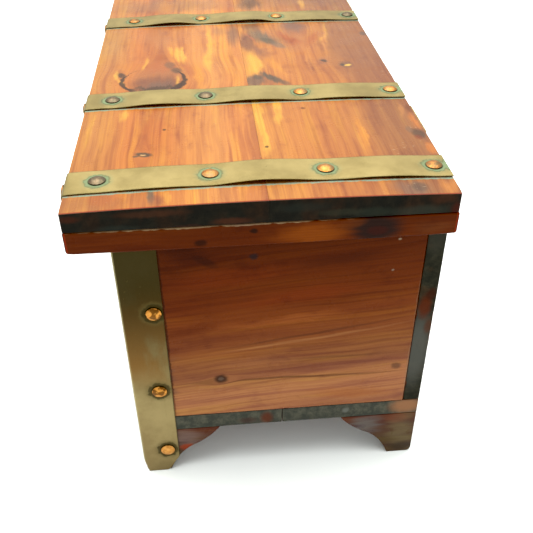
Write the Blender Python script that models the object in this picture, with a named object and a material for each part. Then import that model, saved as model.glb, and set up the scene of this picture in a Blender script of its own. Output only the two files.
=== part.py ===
"""A small red-cedar chest: a nailed box on bracket feet, with a hinged lid and brass straps.

Metres, +Z up. The origin is the middle of the whole object's footprint. The length runs
along X, the front faces -Y, and the lid turns about a line along X at the back.
"""

import math

import bmesh
import bpy
from mathutils import Matrix, Vector

# ---- Driving dimensions -------------------------------------------------------------
FIT = 0.0003  # gap left between pieces that touch

BOX_LENGTH = 0.416
BOX_DEPTH = 0.190
WALL = 0.011  # thickness of the four wall boards
FOOT_HEIGHT = 0.0405
BOTTOM_THICKNESS = 0.0128
WALL_TOP = 0.2115  # height of the walls' top edges
BOTTOM_SEAM = 0.096  # from the front face to the joint between the two bottom boards

LID_THICKNESS = 0.0115  # at the front and back edges; the top is crowned between them
END_CROWN = 0.0019  # rise of the crown at the lid's ends, where the boards have cupped most
MIDDLE_CROWN = 0.0009
LID_END_OVERHANG = 0.012
LID_FRONT_OVERHANG = 0.0224
LID_BACK_OVERHANG = 0.0003
LID_SEAM = 0.1088  # from the lid's front edge to the joint between its two boards
LID_FRONT_CORNER = 0.0015  # corner radii seen from above
LID_BACK_CORNER = 0.004
LID_BOARD_STEPS = 5  # facets across each board's crowned top
CLEAT_HEIGHT = 0.0140
CLEAT_CORNER = 0.0025

SHEET = 0.0006  # thickness of the strap brass
STRAP_WIDTH = 0.0248
STRAP_LIP = 0.0105  # length of the strap's turned-down front end
STRAP_STEP = 0.018  # between the cross lines that a strap bends over the crown on
OUTER_STRAP_FROM_LID_END = 0.0305  # to the strap's middle
STRAP_SPACING = 0.1082  # from the outer strap to the inner one
STRAP_NAILS_FROM_FRONT = (0.0174, 0.0790, 0.1431, 0.2048)
STRAY_NAILS = {(2, 1): 0.0055}  # (strap, row) of a nail set further back than its row
LIP_NAIL_DROP = 0.0050  # from the lid's top down to the nail in a strap's lip
LIP_NAIL_STRAPS = (1, 4)  # the straps, counted from the left, whose lip nail is made here

CORNER_FLANGE = 0.025
CORNER_CLIP = (0.0085, 0.0145)  # the corner cut off each flange's foot: across, up
CORNER_NAILS = ((0.0185, 0.1447), (0.0160, 0.0795), (0.0165, 0.0220))  # in from edge, up

NAIL_HEAD_RADIUS = 0.00475
NAIL_HEAD_HEIGHT = 0.0020
NAIL_SHANK_RADIUS = 0.0009
NAIL_LENGTH = 0.0085
NAIL_HOLE_RADIUS = 0.0013

FOOT_TOE = 0.0175  # width of the foot on the floor
FOOT_REACH = 0.0535  # width of the foot under the box
FOOT_CORNER = 0.0035

HINGE_LENGTH = 0.038
HINGE_FROM_END = 0.085  # from the box's end to the hinge's middle
LEAF_WIDTH = 0.0080  # from the barrel's clearance to the leaf's edge
LEAF_THICKNESS = 0.0009
BARREL_RADIUS = 0.0021
BARREL_CLEARANCE = 0.0004
KNUCKLE_GAP = 0.0004
PIN_RADIUS = 0.0010
PIN_PLAY = 0.00008
SCREW_HOLE_RADIUS = 0.0012

# ---- Positions worked out from them -------------------------------------------------
ON_SHEET = FIT + SHEET + FIT  # from a board to the underside of a nail head on its strap
FRONT_REACH = LID_FRONT_OVERHANG + ON_SHEET + NAIL_HEAD_HEIGHT
BACK_REACH = LID_BACK_OVERHANG + FIT + 2 * BARREL_RADIUS  # the hinges stand on the back
TOTAL_DEPTH = FRONT_REACH + BOX_DEPTH + BACK_REACH
FRONT_Y = -TOTAL_DEPTH / 2 + FRONT_REACH  # outer face of the front board
BACK_Y = FRONT_Y + BOX_DEPTH
END_X = BOX_LENGTH / 2
FLOOR_TOP = FOOT_HEIGHT + BOTTOM_THICKNESS
LID_UNDER = WALL_TOP + FIT
LID_TOP = LID_UNDER + LID_THICKNESS
LID_X = END_X + LID_END_OVERHANG
LID_FRONT_Y = FRONT_Y - LID_FRONT_OVERHANG
LID_BACK_Y = BACK_Y + LID_BACK_OVERHANG
STRAP_XS = [
    side * (LID_X - OUTER_STRAP_FROM_LID_END - inward * STRAP_SPACING)
    for side in (-1, 1)
    for inward in (0, 1)
]
PIN_AXIS = Vector((0, LID_BACK_Y + FIT + BARREL_RADIUS, WALL_TOP + FIT / 2))
SIDES = {"left": -1, "right": 1}


# ---- The lid's crowned top ----------------------------------------------------------
LID_MIDDLE_Y = (LID_FRONT_Y + LID_BACK_Y) / 2
LID_HALF_DEPTH = (LID_BACK_Y - LID_FRONT_Y) / 2


def crown(x):
    """Rise of the lid's top over its edges, at a distance along the lid."""
    return MIDDLE_CROWN + (END_CROWN - MIDDLE_CROWN) * (x / LID_X) ** 2


def lid_top_at(x, y):
    across = (y - LID_MIDDLE_Y) / LID_HALF_DEPTH
    return LID_TOP + crown(x) * (1 - across**2)


def lid_normal_at(x, y):
    slope = -2 * crown(x) * (y - LID_MIDDLE_Y) / LID_HALF_DEPTH**2
    return Vector((0, -slope, 1)).normalized()


def steps_between(low, high, step):
    """Evenly spaced values from low to high, at most a step apart."""
    count = math.ceil((high - low) / step)
    return [low + (high - low) * i / count for i in range(count + 1)]


# ---- Helpers ------------------------------------------------------------------------
def clear_scene():
    for obj in list(bpy.data.objects):
        bpy.data.objects.remove(obj)


def make_material(name, colour, roughness, metallic=0.0):
    material = bpy.data.materials.new(name)
    material.use_nodes = True
    shader = material.node_tree.nodes["Principled BSDF"]
    shader.inputs["Base Color"].default_value = (*colour, 1.0)
    shader.inputs["Roughness"].default_value = roughness
    shader.inputs["Metallic"].default_value = metallic
    return material


def add_object(name, mesh, material=None, at=(0, 0, 0), parent=None):
    """Links a mesh as an object whose origin is at a world position."""
    obj = bpy.data.objects.new(name, mesh)
    bpy.context.scene.collection.objects.link(obj)
    obj.location = Vector(at) - (parent.location if parent else Vector())
    obj.parent = parent
    if material and not mesh.materials:
        mesh.materials.append(material)
    return obj


def mesh_of(name, bm, smooth=False):
    bmesh.ops.recalc_face_normals(bm, faces=bm.faces)
    mesh = bpy.data.meshes.new(name)
    bm.to_mesh(mesh)
    bm.free()
    if smooth:
        mesh.shade_smooth()
        mesh.set_sharp_from_angle(angle=math.radians(40))
    return mesh


def box_mesh(name, low, high):
    bm = bmesh.new()
    size = Vector(high) - Vector(low)
    middle = (Vector(high) + Vector(low)) / 2
    matrix = Matrix.Translation(middle) @ Matrix.Diagonal((*size, 1))
    bmesh.ops.create_cube(bm, size=1, matrix=matrix)
    return mesh_of(name, bm)


def prism_mesh(name, outline, along):
    """A flat outline of 3-D points, carried along a vector."""
    bm = bmesh.new()
    face = bm.faces.new([bm.verts.new(point) for point in outline])
    grown = bmesh.ops.extrude_face_region(bm, geom=[face])
    moved = [part for part in grown["geom"] if isinstance(part, bmesh.types.BMVert)]
    bmesh.ops.translate(bm, verts=moved, vec=along)
    return mesh_of(name, bm)


def add_turned(bm, profile, sides, matrix):
    """Turns a profile of (radius, height) about Z; its first and last radius are 0."""
    rings = []
    for radius, height in profile:
        if radius == 0:
            rings.append([bm.verts.new(matrix @ Vector((0, 0, height)))])
            continue
        turns = [2 * math.pi * step / sides for step in range(sides)]
        rings.append(
            [
                bm.verts.new(matrix @ Vector((radius * math.cos(a), radius * math.sin(a), height)))
                for a in turns
            ]
        )
    for lower, upper in zip(rings, rings[1:]):
        for step in range(sides):
            corners = []
            for ring, index in ((lower, step), (lower, step + 1), (upper, step + 1), (upper, step)):
                vertex = ring[index % len(ring)]
                if vertex not in corners:
                    corners.append(vertex)
            bm.faces.new(corners)


def add_rod(bm, radius, length, matrix, sides=12):
    """A plain cylinder along +Z from the matrix's origin."""
    add_turned(bm, [(0, 0), (radius, 0), (radius, length), (0, length)], sides, matrix)


def ease(obj, width=0.0006):
    """Takes the sharp arrises off a board."""
    bevel = obj.modifiers.new("eased_edges", "BEVEL")
    bevel.width = width
    bevel.segments = 1
    bevel.limit_method = "ANGLE"
    bevel.angle_limit = math.radians(40)
    return obj


def combine(obj, operation, other):
    boolean = obj.modifiers.new(f"{operation.lower()}_{other.name}", "BOOLEAN")
    boolean.operation = operation
    boolean.object = other
    return obj


def as_cutter(obj):
    obj.hide_render = True
    obj.display_type = "WIRE"
    return obj


def arc(centre, radius, start, end, steps):
    """Points of an arc in a plane, its angles in degrees."""
    angles = [math.radians(start + (end - start) * i / steps) for i in range(steps + 1)]
    return [(centre[0] + radius * math.cos(a), centre[1] + radius * math.sin(a)) for a in angles]


def bezier(start, control, end, steps):
    """Points of a quadratic curve after its start."""
    points = []
    for i in range(1, steps + 1):
        t = i / steps
        weights = ((1 - t) ** 2, 2 * t * (1 - t), t**2)
        points.append(
            tuple(sum(w * p[k] for w, p in zip(weights, (start, control, end))) for k in (0, 1))
        )
    return points


def outward(axis):
    """The rotation that turns +Z onto an outward axis."""
    return Vector((0, 0, 1)).rotation_difference(Vector(axis)).to_matrix().to_4x4()


# ---- Nails --------------------------------------------------------------------------
def nail_profile():
    """Point, shank and domed head; height 0 is the head's underside."""
    half_chord = NAIL_HEAD_RADIUS
    rise = NAIL_HEAD_HEIGHT - 0.0004
    ball = (half_chord**2 + rise**2) / (2 * rise)
    widest = math.degrees(math.asin(half_chord / ball))
    dome = arc((0, NAIL_HEAD_HEIGHT - ball), ball, 90 - widest, 90, 3)
    shank = [(0, -NAIL_LENGTH), (NAIL_SHANK_RADIUS, -NAIL_LENGTH + 0.002), (NAIL_SHANK_RADIUS, 0)]
    return shank + [(half_chord, 0)] + dome[:-1] + [(0, NAIL_HEAD_HEIGHT)]


def nail_places():
    """(name, underside of the head, outward axis, whether it is on the lid) of every nail."""
    places = []
    for number, x in enumerate(sorted(STRAP_XS), start=1):
        for row, from_front in enumerate(STRAP_NAILS_FROM_FRONT, start=1):
            y = LID_FRONT_Y + from_front + STRAY_NAILS.get((number, row), 0)
            axis = lid_normal_at(x, y)
            point = Vector((x, y, lid_top_at(x, y))) + axis * ON_SHEET
            places.append((f"lid_nail_{number}_{row}", point, axis, True))
        if number in LIP_NAIL_STRAPS:
            point = Vector((x, LID_FRONT_Y - ON_SHEET, LID_TOP - LIP_NAIL_DROP))
            places.append((f"lid_lip_nail_{number}", point, (0, -1, 0), True))
    for side, sign in SIDES.items():
        for row, (inward, height) in enumerate(CORNER_NAILS, start=1):
            point = Vector((sign * (END_X + ON_SHEET), FRONT_Y + inward, height))
            places.append((f"corner_nail_{side}_end_{row}", point, (sign, 0, 0), False))
            point = Vector((sign * (END_X - inward), FRONT_Y - ON_SHEET, height))
            places.append((f"corner_nail_{side}_front_{row}", point, (0, -1, 0), False))
    return places


def make_nails(material, lid):
    bm = bmesh.new()
    add_turned(bm, nail_profile(), 14, Matrix())
    mesh = mesh_of("domed_nail", bm, smooth=True)
    for name, point, axis, on_lid in nail_places():
        nail = add_object(name, mesh, material, point, lid if on_lid else None)
        nail.rotation_euler = outward(axis).to_euler()


def make_nail_drills():
    """The holes that the nails leave in straps and boards."""
    bm = bmesh.new()
    for _, point, axis, _ in nail_places():
        start = Matrix.Translation(point - Vector(axis) * (NAIL_LENGTH + FIT))
        add_rod(bm, NAIL_HOLE_RADIUS, NAIL_LENGTH + 2 * FIT, start @ outward(axis), 8)
    return as_cutter(add_object("nail_drills", mesh_of("nail_drills", bm)))


# ---- Box ----------------------------------------------------------------------------
def make_board(name, low, high, material, drills=None):
    board = ease(add_object(name, box_mesh(name, low, high), material))
    if drills:
        combine(board, "DIFFERENCE", drills)
    return board


def make_walls(wood, dark_wood, drills):
    make_board(
        "front_panel",
        (-END_X, FRONT_Y, FLOOR_TOP + FIT),
        (END_X, FRONT_Y + WALL, WALL_TOP),
        wood,
        drills,
    )
    make_board(
        "back_panel",
        (-END_X, BACK_Y - WALL, FLOOR_TOP + FIT),
        (END_X, BACK_Y, WALL_TOP),
        dark_wood,
    )
    for side, sign in SIDES.items():
        faces = sorted((sign * END_X, sign * (END_X - WALL)))
        make_board(
            f"{side}_end_panel",
            (faces[0], FRONT_Y + WALL + FIT, FLOOR_TOP + FIT),
            (faces[1], BACK_Y - WALL - FIT, WALL_TOP),
            wood,
            drills,
        )


def make_bottom(material):
    seam = FRONT_Y + BOTTOM_SEAM
    spans = {
        "front_bottom_board": (FRONT_Y, seam - FIT / 2),
        "back_bottom_board": (seam + FIT / 2, BACK_Y),
    }
    for name, (near, far) in spans.items():
        make_board(name, (-END_X, near, FOOT_HEIGHT), (END_X, far, FLOOR_TOP), material)


def foot_outline(start):
    """(distance in from the box's corner, height) of a bracket foot that starts that far in."""
    top = FOOT_HEIGHT - FIT
    toe = [(start, 0)]
    if start == 0:
        toe = arc((FOOT_CORNER, FOOT_CORNER), FOOT_CORNER, 180, 270, 3)
    knee = (FOOT_TOE + 0.017, 0.0235)
    heel = (FOOT_TOE, 0)
    rise = bezier(heel, (FOOT_TOE + 0.006, 0.017), knee, 5)
    sweep = bezier(knee, (FOOT_REACH - 0.0075, 0.0295), (FOOT_REACH, top), 4)
    return toe + [heel] + rise + sweep + [(start, top)]


def make_feet(material, drills):
    """Each corner has one bracket in the end's plane and one, behind it, along the length."""
    for side, sign in SIDES.items():
        for place, face_y, inward in (("front", FRONT_Y, 1), ("back", BACK_Y, -1)):
            outline = [
                (sign * END_X, face_y + inward * across, height)
                for across, height in foot_outline(0)
            ]
            name = f"{side}_{place}_foot_end_bracket"
            mesh = prism_mesh(name, outline, (-sign * WALL, 0, 0))
            combine(add_object(name, mesh, material), "DIFFERENCE", drills)
            outline = [
                (sign * (END_X - across), face_y, height)
                for across, height in foot_outline(WALL + FIT)
            ]
            name = f"{side}_{place}_foot_side_bracket"
            mesh = prism_mesh(name, outline, (0, inward * WALL, 0))
            combine(add_object(name, mesh, material), "DIFFERENCE", drills)


# ---- Brass --------------------------------------------------------------------------
def fold_sheet(name, flaps, material, parent=None):
    """A sheet folded from flat flaps that share their fold line, thickened outwards."""
    bm = bmesh.new()
    for flap in flaps:
        bm.faces.new([bm.verts.new(point) for point in flap])
    bmesh.ops.remove_doubles(bm, verts=bm.verts, dist=FIT / 10)
    mesh = bpy.data.meshes.new(name)
    bm.to_mesh(mesh)
    bm.free()
    mesh.transform(Matrix.Translation(-(parent.location if parent else Vector())))
    sheet = add_object(name, mesh, material, parent.location if parent else (0, 0, 0), parent)
    solidify = sheet.modifiers.new("sheet_thickness", "SOLIDIFY")
    solidify.thickness = SHEET
    solidify.offset = 1
    solidify.use_even_offset = True
    return sheet


def make_corner_straps(material, drills):
    top = WALL_TOP - FIT
    clip_across, clip_up = CORNER_CLIP
    toe = FIT
    for side, sign in SIDES.items():
        # (distance from the fold, height), one flange; the other is its mirror image.
        flange = [
            (0, top),
            (0, FOOT_CORNER),
            (FOOT_CORNER * 0.4, FOOT_CORNER * 0.3),
            (FOOT_CORNER, toe),
            (CORNER_FLANGE - clip_across, toe),
            (CORNER_FLANGE, clip_up),
            (CORNER_FLANGE, top),
        ]
        x, y = sign * (END_X + FIT), FRONT_Y - FIT
        end_flap = [(x, y + across, height) for across, height in flange]
        front_flap = [(x - sign * across, y, height) for across, height in flange]
        # The faces run so that their normals point away from the box.
        flaps = [end_flap, front_flap[::-1]]
        if sign < 0:
            flaps = [end_flap[::-1], front_flap]
        strap = fold_sheet(f"{side}_corner_strap", flaps, material)
        combine(strap, "DIFFERENCE", drills)


def make_lid_straps(material, drills, lid):
    front = LID_FRONT_Y - FIT
    for number, x in enumerate(sorted(STRAP_XS), start=1):
        edges = (x - STRAP_WIDTH / 2, x + STRAP_WIDTH / 2)
        ys = steps_between(front, LID_BACK_Y, STRAP_STEP)
        rungs = [[(edge, y, lid_top_at(edge, y) + FIT) for edge in edges] for y in ys]
        foot = [(edge, front, LID_TOP - STRAP_LIP) for edge in edges]
        rungs.insert(0, foot)
        flaps = [(*near, *far[::-1]) for near, far in zip(rungs, rungs[1:])]
        strap = fold_sheet(f"lid_strap_{number}", flaps, material, lid)
        combine(strap, "DIFFERENCE", drills)


# ---- Lid ----------------------------------------------------------------------------
def corner_inset(from_end, radius):
    """How far a rounded corner stands in from the edge, at a distance from the board's end."""
    reach = max(radius - from_end, 0)
    return radius - math.sqrt(radius**2 - reach**2)


def lid_board_mesh(name, low_y, high_y, radii):
    """A board as sections across it; radii are those of its front and back corners."""
    corner = [LID_BACK_CORNER * share for share in (0, 0.25, 0.6, 1)]
    middle = steps_between(-LID_X + LID_BACK_CORNER, LID_X - LID_BACK_CORNER, 0.05)[1:-1]
    stations = [-LID_X + d for d in corner] + middle + [LID_X - d for d in reversed(corner)]
    bm = bmesh.new()
    rings = []
    for x in stations:
        front, back = (corner_inset(LID_X - abs(x), radius) for radius in radii)
        width = high_y - back - low_y - front
        ys = [low_y + front + width * i / LID_BOARD_STEPS for i in range(LID_BOARD_STEPS + 1)]
        section = [(x, ys[0], LID_UNDER)]
        section += [(x, y, lid_top_at(x, y)) for y in ys]
        section += [(x, ys[-1], LID_UNDER)]
        rings.append([bm.verts.new(point) for point in section])
    for ring, following in zip(rings, rings[1:]):
        for i in range(len(ring)):
            j = (i + 1) % len(ring)
            bm.faces.new((ring[i], ring[j], following[j], following[i]))
    bm.faces.new(rings[0])
    bm.faces.new(rings[-1])
    return mesh_of(name, bm)


def make_lid_boards(material, drills, lid):
    seam = LID_FRONT_Y + LID_SEAM
    spans = {
        "lid_front_board": (LID_FRONT_Y, seam - FIT / 2, (LID_FRONT_CORNER, 0)),
        "lid_back_board": (seam + FIT / 2, LID_BACK_Y, (0, LID_BACK_CORNER)),
    }
    for name, (near, far, radii) in spans.items():
        mesh = lid_board_mesh(name, near, far, radii)
        mesh.transform(Matrix.Translation(-lid.location))
        board = ease(add_object(name, mesh, material, lid.location, lid))
        board.modifiers.new("flat_facets", "TRIANGULATE")
        combine(board, "DIFFERENCE", drills)


def make_cleats(material, lid):
    """The battens under the lid's ends, just outside the box, clear of the corner straps."""
    inner = END_X + FIT + SHEET + 0.0004
    low, high = LID_UNDER - FIT - CLEAT_HEIGHT, LID_UNDER - FIT
    radius = CLEAT_CORNER
    front, back = LID_FRONT_Y, LID_BACK_Y
    outline = [(front, high)]
    outline += arc((front + radius, low + radius), radius, 180, 270, 3)
    outline += arc((back - radius, low + radius), radius, 270, 360, 3)
    outline += [(back, high)]
    for side, sign in SIDES.items():
        name = f"{side}_lid_cleat"
        points = [(sign * inner, y, z) for y, z in outline]
        mesh = prism_mesh(name, points, (sign * (LID_X - inner), 0, 0))
        mesh.transform(Matrix.Translation(-lid.location))
        ease(add_object(name, mesh, material, lid.location, lid), 0.0008)


# ---- Hinges -------------------------------------------------------------------------
def make_leaf(name, middle, below, material, parent):
    """One leaf. The lower one has the two outer knuckles and the upper one the middle knuckle."""
    third = HINGE_LENGTH / 3
    knuckles = ((-1.5, -0.5), (0.5, 1.5)) if below else ((-0.5, 0.5),)
    near_y = (BACK_Y if below else LID_BACK_Y) + FIT
    far_y = near_y + LEAF_THICKNESS
    down = -1 if below else 1
    root_z = PIN_AXIS.z + down * (BARREL_RADIUS + BARREL_CLEARANCE)
    tip_z = root_z + down * LEAF_WIDTH
    low_z, high_z = sorted((root_z, tip_z))
    half = HINGE_LENGTH / 2
    plate = box_mesh(name, (middle - half, near_y, low_z), (middle + half, far_y, high_z))
    leaf = add_object(name, plate, material)
    for number, (start, end) in enumerate(knuckles, start=1):
        left = middle + start * third + (KNUCKLE_GAP / 2 if start > -1.5 else 0)
        right = middle + end * third - (KNUCKLE_GAP / 2 if end < 1.5 else 0)
        low_z, high_z = sorted((PIN_AXIS.z, root_z + down * LEAF_THICKNESS))
        tongue_name = f"{name}_tongue_{number}"
        mesh = box_mesh(tongue_name, (left, near_y, low_z), (right, far_y, high_z))
        tongue = as_cutter(add_object(tongue_name, mesh))
        bm = bmesh.new()
        base = Matrix.Translation((left, PIN_AXIS.y, PIN_AXIS.z)) @ outward((1, 0, 0))
        add_rod(bm, BARREL_RADIUS, right - left, base, 16)
        barrel_name = f"{name}_barrel_{number}"
        barrel = as_cutter(add_object(barrel_name, mesh_of(barrel_name, bm)))
        combine(tongue, "UNION", barrel)
        combine(leaf, "UNION", tongue)
    combine(leaf, "DIFFERENCE", hinge_bores(name, middle, near_y, (root_z + tip_z) / 2))
    if parent:
        leaf.data.transform(Matrix.Translation(-parent.location))
        leaf.parent = parent


def hinge_bores(name, middle, near_y, screw_z):
    """The pin's bore through the knuckles and the two screw holes through the plate."""
    bm = bmesh.new()
    over = 0.001
    start = Matrix.Translation((middle - HINGE_LENGTH / 2 - over, PIN_AXIS.y, PIN_AXIS.z))
    radius = PIN_RADIUS + PIN_PLAY
    add_rod(bm, radius, HINGE_LENGTH + 2 * over, start @ outward((1, 0, 0)), 16)
    for x in (middle - HINGE_LENGTH / 3, middle + HINGE_LENGTH / 3):
        base = Matrix.Translation((x, near_y - over, screw_z)) @ outward((0, 1, 0))
        add_rod(bm, SCREW_HOLE_RADIUS, LEAF_THICKNESS + 2 * over, base, 10)
    return as_cutter(add_object(f"{name}_bores", mesh_of(f"{name}_bores", bm)))


def make_hinges(material, pin_material, lid):
    for side, sign in SIDES.items():
        middle = sign * (END_X - HINGE_FROM_END)
        make_leaf(f"{side}_hinge_lower_leaf", middle, True, material, None)
        make_leaf(f"{side}_hinge_upper_leaf", middle, False, material, lid)
        bm = bmesh.new()
        name = f"{side}_hinge_pin"
        start = Matrix.Translation((middle - HINGE_LENGTH / 2, PIN_AXIS.y, PIN_AXIS.z))
        add_rod(bm, PIN_RADIUS, HINGE_LENGTH, start @ outward((1, 0, 0)), 16)
        add_object(name, mesh_of(name, bm, smooth=True), pin_material)


# ---- Assembly -----------------------------------------------------------------------
def main():
    clear_scene()
    cedar = make_material("cedar", (0.46, 0.13, 0.03), 0.32)
    lid_cedar = make_material("lid_cedar", (0.62, 0.22, 0.05), 0.28)
    dark_cedar = make_material("dark_cedar", (0.06, 0.045, 0.035), 0.5)
    brass = make_material("strap_brass", (0.36, 0.29, 0.13), 0.42, 0.9)
    copper = make_material("nail_copper", (0.75, 0.40, 0.16), 0.3, 1.0)
    steel = make_material("pin_steel", (0.35, 0.33, 0.30), 0.35, 1.0)

    lid = bpy.data.objects.new("lid_pivot", None)
    bpy.context.scene.collection.objects.link(lid)
    lid.location = PIN_AXIS

    drills = make_nail_drills()
    make_walls(cedar, dark_cedar, drills)
    make_bottom(dark_cedar)
    make_feet(dark_cedar, drills)
    make_corner_straps(brass, drills)
    make_lid_boards(lid_cedar, drills, lid)
    make_cleats(cedar, lid)
    make_lid_straps(brass, drills, lid)
    make_hinges(brass, steel, lid)
    make_nails(copper, lid)


main()
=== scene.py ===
import functools
import math

import bmesh
import bpy
import numpy as np
from mathutils import Matrix, Vector, noise


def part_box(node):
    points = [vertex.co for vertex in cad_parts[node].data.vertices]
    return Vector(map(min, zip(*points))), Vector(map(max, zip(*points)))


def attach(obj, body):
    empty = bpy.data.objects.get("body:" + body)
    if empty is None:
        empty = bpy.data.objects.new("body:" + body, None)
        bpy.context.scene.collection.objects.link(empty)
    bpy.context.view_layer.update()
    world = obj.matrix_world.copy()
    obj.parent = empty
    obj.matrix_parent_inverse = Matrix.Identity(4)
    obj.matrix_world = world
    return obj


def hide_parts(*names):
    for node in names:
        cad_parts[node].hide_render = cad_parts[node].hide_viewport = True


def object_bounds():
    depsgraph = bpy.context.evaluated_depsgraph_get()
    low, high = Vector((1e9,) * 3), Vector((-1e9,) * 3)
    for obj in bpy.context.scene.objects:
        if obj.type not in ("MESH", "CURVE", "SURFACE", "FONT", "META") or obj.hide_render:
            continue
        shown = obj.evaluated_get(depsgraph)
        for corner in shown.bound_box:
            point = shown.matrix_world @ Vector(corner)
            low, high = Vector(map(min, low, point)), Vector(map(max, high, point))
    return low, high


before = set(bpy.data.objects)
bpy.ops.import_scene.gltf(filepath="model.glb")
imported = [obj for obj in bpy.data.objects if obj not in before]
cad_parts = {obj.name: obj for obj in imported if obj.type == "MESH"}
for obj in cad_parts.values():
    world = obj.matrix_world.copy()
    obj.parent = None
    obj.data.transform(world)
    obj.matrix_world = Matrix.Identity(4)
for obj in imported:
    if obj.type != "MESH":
        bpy.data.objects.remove(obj)  # the chest as packed: bodies "chest" and "lid", metres, +Z up
CAD_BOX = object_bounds()

MM = 0.001
X, Y, Z = 0, 1, 2
SIDES = {"left": -1, "right": 1}


# ---- Where things are, read from the frame -------------------------------------------
def lowest(node):
    """The lowest corner of a CAD node's box."""
    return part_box(node)[0]


def highest(node):
    """The highest corner of a CAD node's box."""
    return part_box(node)[1]


def centre(node):
    """The middle of a CAD node's box."""
    return (lowest(node) + highest(node)) / 2


LID_FRONT_Y, LID_BACK_Y = lowest("lid_front_board").y, highest("lid_back_board").y
LID_X = highest("lid_front_board").x
LID_SEAM_Y = (highest("lid_front_board").y + lowest("lid_back_board").y) / 2
LID_UNDER = lowest("lid_front_board").z
END_CROWN, MIDDLE_CROWN = 1.9 * MM, 0.9 * MM  # rise of the lid's top over its edges
LID_EDGE_TOP = highest("lid_front_board").z - END_CROWN
LID_MIDDLE_Y = (LID_FRONT_Y + LID_BACK_Y) / 2
LID_HALF_DEPTH = (LID_BACK_Y - LID_FRONT_Y) / 2
END_X = highest("front_panel").x
FRONT_Y, BACK_Y = lowest("front_panel").y, highest("back_panel").y
WALL = highest("front_panel").y - FRONT_Y
FOOT_TOP = highest("right_front_foot_end_bracket").z
STRAPS = (1, 2, 3, 4)
STRAP_WIDTH = highest("lid_strap_1").x - lowest("lid_strap_1").x


def lid_top_at(x, y):
    """Height of the lid's crowned top."""
    crown = MIDDLE_CROWN + (END_CROWN - MIDDLE_CROWN) * (x / LID_X) ** 2
    return LID_EDGE_TOP + crown * (1 - ((y - LID_MIDDLE_Y) / LID_HALF_DEPTH) ** 2)


def smooth(t):
    """0 below 0, 1 above 1, and an S-curve between them."""
    t = np.clip(t, 0, 1)
    return t * t * (3 - 2 * t)


# ---- Mesh helpers --------------------------------------------------------------------
def link(name, data):
    """A new object in the scene."""
    made = bpy.data.objects.new(name, data)
    bpy.context.scene.collection.objects.link(made)
    return made


def add_piece(name, mesh, body, slot, material, *nodes):
    """Links a mesh as a piece that rides on a body and stands for some CAD nodes."""
    piece = link(name, mesh)
    mesh.materials.append(material)
    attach(piece, body)
    if nodes:
        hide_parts(*nodes)
    return piece


def mesh_from(name, points, faces, sharp=None):
    """A smooth-shaded mesh whose faces all point outwards."""
    mesh = bpy.data.meshes.new(name)
    mesh.from_pydata([tuple(p) for p in points], [], faces)
    bm = bmesh.new()
    bm.from_mesh(mesh)
    bmesh.ops.recalc_face_normals(bm, faces=bm.faces)
    bm.to_mesh(mesh)
    bm.free()
    mesh.shade_smooth()
    if sharp:
        mesh.set_sharp_from_angle(angle=math.radians(sharp))
    return mesh


def cuts(low, high, radius, step):
    """Stations along one side of a board, close together over its rounded edges."""
    turn = [radius * (1 - math.tan(math.radians(angle))) for angle in (45, 22.5)]
    near = [low + t for t in turn] + [low + radius]
    far = [high - radius] + [high - t for t in reversed(turn)]
    hold = 0.3 * MM
    inner = np.linspace(low + radius + hold, high - radius - hold, max(2, round((high - low) / step)))
    return np.array([*near, *inner, *far])


def shell_faces(counts):
    """The quads over the outside of a lattice, and its points' lattice places."""
    places = {}
    faces = []

    def index(place):
        return places.setdefault(tuple(place), len(places))

    for axis in range(3):
        a, b = [other for other in range(3) if other != axis]
        for side in (0, counts[axis] - 1):
            for i in range(counts[a] - 1):
                for j in range(counts[b] - 1):
                    quad = []
                    for di, dj in ((0, 0), (1, 0), (1, 1), (0, 1)):
                        place = [side] * 3
                        place[a], place[b] = i + di, j + dj
                        quad.append(index(place))
                    faces.append(quad)
    return faces, np.array(list(places))


def wander(points, size, seed):
    """Smooth noise from 0 to 1 at each point, with features of about that size."""
    shift = Vector((seed * 7.31, seed * 3.17, seed * 5.53))
    values = [noise.noise(Vector(p) / size + shift) for p in points]
    return np.clip(0.5 + 0.62 * np.array(values), 0, 1)


def board_mesh(name, low, high, radius=0.7 * MM, step=4 * MM, sag=0.12 * MM, nick=0.35 * MM, shape=None):
    """A planed board: rounded arrises, a face that isn't quite flat, and worn edges.

    It only ever loses wood, so it stays inside the box it starts from. sag is how deep its
    faces' hollows are, and nick how deep the dents in its arrises. shape moves the
    finished points, for a crown or a rounded corner.
    """
    low, high = np.array(low), np.array(high)
    stations = [cuts(low[k], high[k], radius, step) for k in range(3)]
    faces, places = shell_faces([len(s) for s in stations])
    points = np.stack([stations[k][places[:, k]] for k in range(3)], axis=1)
    core = np.clip(points, low + radius, high - radius)
    away = points - core
    away /= np.maximum(np.linalg.norm(away, axis=1), 1e-9)[:, None]
    on_arris = np.sort(np.abs(away), axis=1)[:, 1] > 0.2
    seed = sum(ord(letter) for letter in name) % 97
    lost = sag * wander(points, 40 * MM, seed)
    lost += np.where(on_arris, nick * smooth(wander(points, 6 * MM, seed + 1) * 3.2 - 2.1), 0)
    points = core + away * (radius - lost)[:, None]
    if shape:
        points = shape(points)
    return mesh_from(name, points, faces)


def loft_mesh(name, rings, sharp=None):
    """A closed body through rings of points, with a flat cap at each end."""
    count = len(rings[0])
    points = [p for ring in rings for p in ring]
    faces = [tuple(range(count)), tuple(range((len(rings) - 1) * count, len(rings) * count))]
    for r in range(len(rings) - 1):
        for i in range(count):
            j = (i + 1) % count
            faces.append((r * count + i, r * count + j, (r + 1) * count + j, (r + 1) * count + i))
    return mesh_from(name, points, faces, sharp)


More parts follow.
